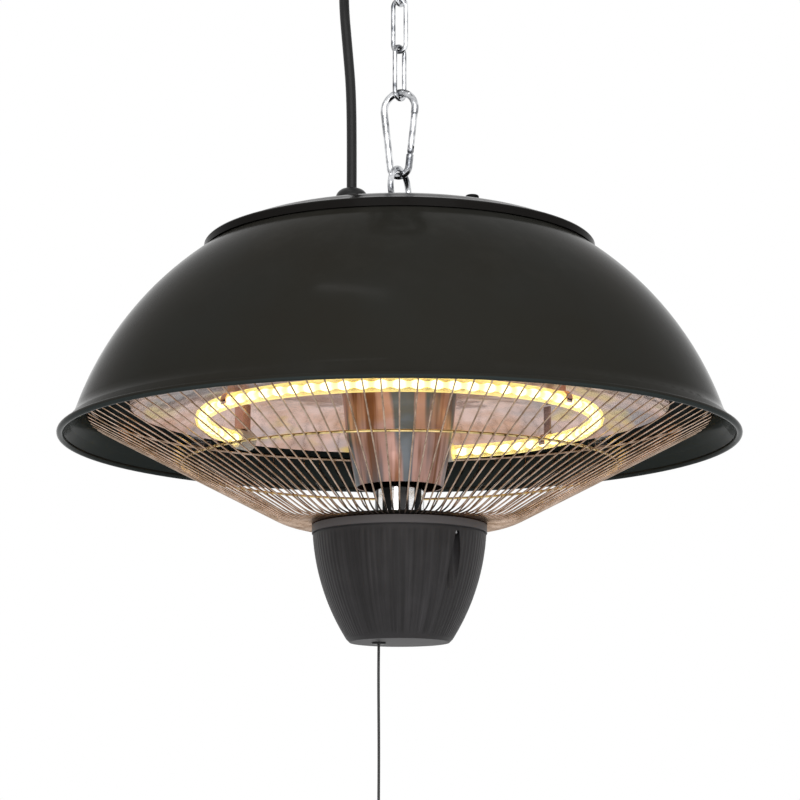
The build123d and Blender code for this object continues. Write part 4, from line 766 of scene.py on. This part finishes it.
class HEATER_OT_stage(bpy.types.Operator):
    """Makes the floor, the light and the camera"""

    bl_idname = "heater.stage"
    bl_label = "Stage"

    floor_height: length_setting("Floor", "Height of the floor", -1.30)

    def lamp(self, name, place, target, size, power):
        """A softbox turned to its target."""
        light = bpy.data.lights.new(name, "AREA")
        light.shape = "RECTANGLE"
        light.size, light.size_y = size
        light.energy = power
        holder = bpy.data.objects.new(name, light)
        holder.location = place
        holder.rotation_mode = "QUATERNION"
        holder.rotation_quaternion = (Vector(target) - Vector(place)).to_track_quat("-Z", "Y")
        bpy.context.scene.collection.objects.link(holder)

    def execute(self, context):
        settings = context.scene.heater_view
        scene = context.scene
        mesh = bpy.data.meshes.new("floor")
        corners = ((-1, -1), (1, -1), (1, 1), (-1, 1))
        places = [(x * FLOOR_REACH, y * FLOOR_REACH, 0.0) for x, y in corners]
        mesh.from_pydata(places, [], [(0, 1, 2, 3)])
        floor = bpy.data.objects.new("floor", mesh)
        floor.location = (0.0, 0.0, self.floor_height)
        scene.collection.objects.link(floor)
        pale = Shader("Pale floor")
        cloud = pale.noise(0.8, 2.0)
        pale.finish(
            base_color=pale.blend(cloud, *FLOOR_TONES),
            roughness=0.9,
            specular_ior_level=0.0,
            emission_color=pale.blend(pale.seen(), (0.0, 0.0, 0.0), FLOOR_WHITE),
            emission_strength=1.0,
        )
        floor.data.materials.append(pale.material)

        scene.world = studio_world()
        for lamp in LAMPS:
            self.lamp(*lamp)

        camera = bpy.data.cameras.new("Camera")
        camera.lens = settings.lens
        camera.sensor_width = CAMERA_SENSOR
        holder = bpy.data.objects.new("Camera", camera)
        holder.location = (CAMERA_ASIDE, -settings.distance, RIM - settings.drop)
        holder.rotation_euler = (pi / 2 + settings.pitch, 0.0, 0.0)
        camera.clip_start, camera.clip_end = CAMERA_CLIP
        scene.collection.objects.link(holder)
        scene.camera = holder
        scene.view_settings.view_transform = "Standard"
        return {"FINISHED"}


class HEATER_PT_panel(bpy.types.Panel):
    """Heater tools"""

    bl_label = "Heater"
    bl_idname = "HEATER_PT_panel"
    bl_space_type = "VIEW_3D"
    bl_region_type = "UI"
    bl_category = "Heater"

    def draw(self, context):
        for operator in OPERATORS:
            self.layout.operator(operator.bl_idname)


SETTINGS = {
    "heater_cords": CordSettings,
    "heater_paint": PaintSettings,
    "heater_lamp": LampSettings,
    "heater_view": ViewSettings,
}
OPERATORS = (HEATER_OT_finishes, HEATER_OT_lamp, HEATER_OT_cords, HEATER_OT_stage)


def register():
    for cls in (*SETTINGS.values(), *OPERATORS, HEATER_PT_panel):
        bpy.utils.register_class(cls)
    for name, group in SETTINGS.items():
        setattr(bpy.types.Scene, name, PointerProperty(type=group))


def unregister():
    for name in SETTINGS:
        delattr(bpy.types.Scene, name)
    for cls in reversed((*SETTINGS.values(), *OPERATORS, HEATER_PT_panel)):
        bpy.utils.unregister_class(cls)


def main():
    register()
    bpy.ops.heater.finishes()
    bpy.ops.heater.lamp()
    bpy.ops.heater.cords()
    bpy.ops.heater.stage()


if __name__ == "__main__":
    main()
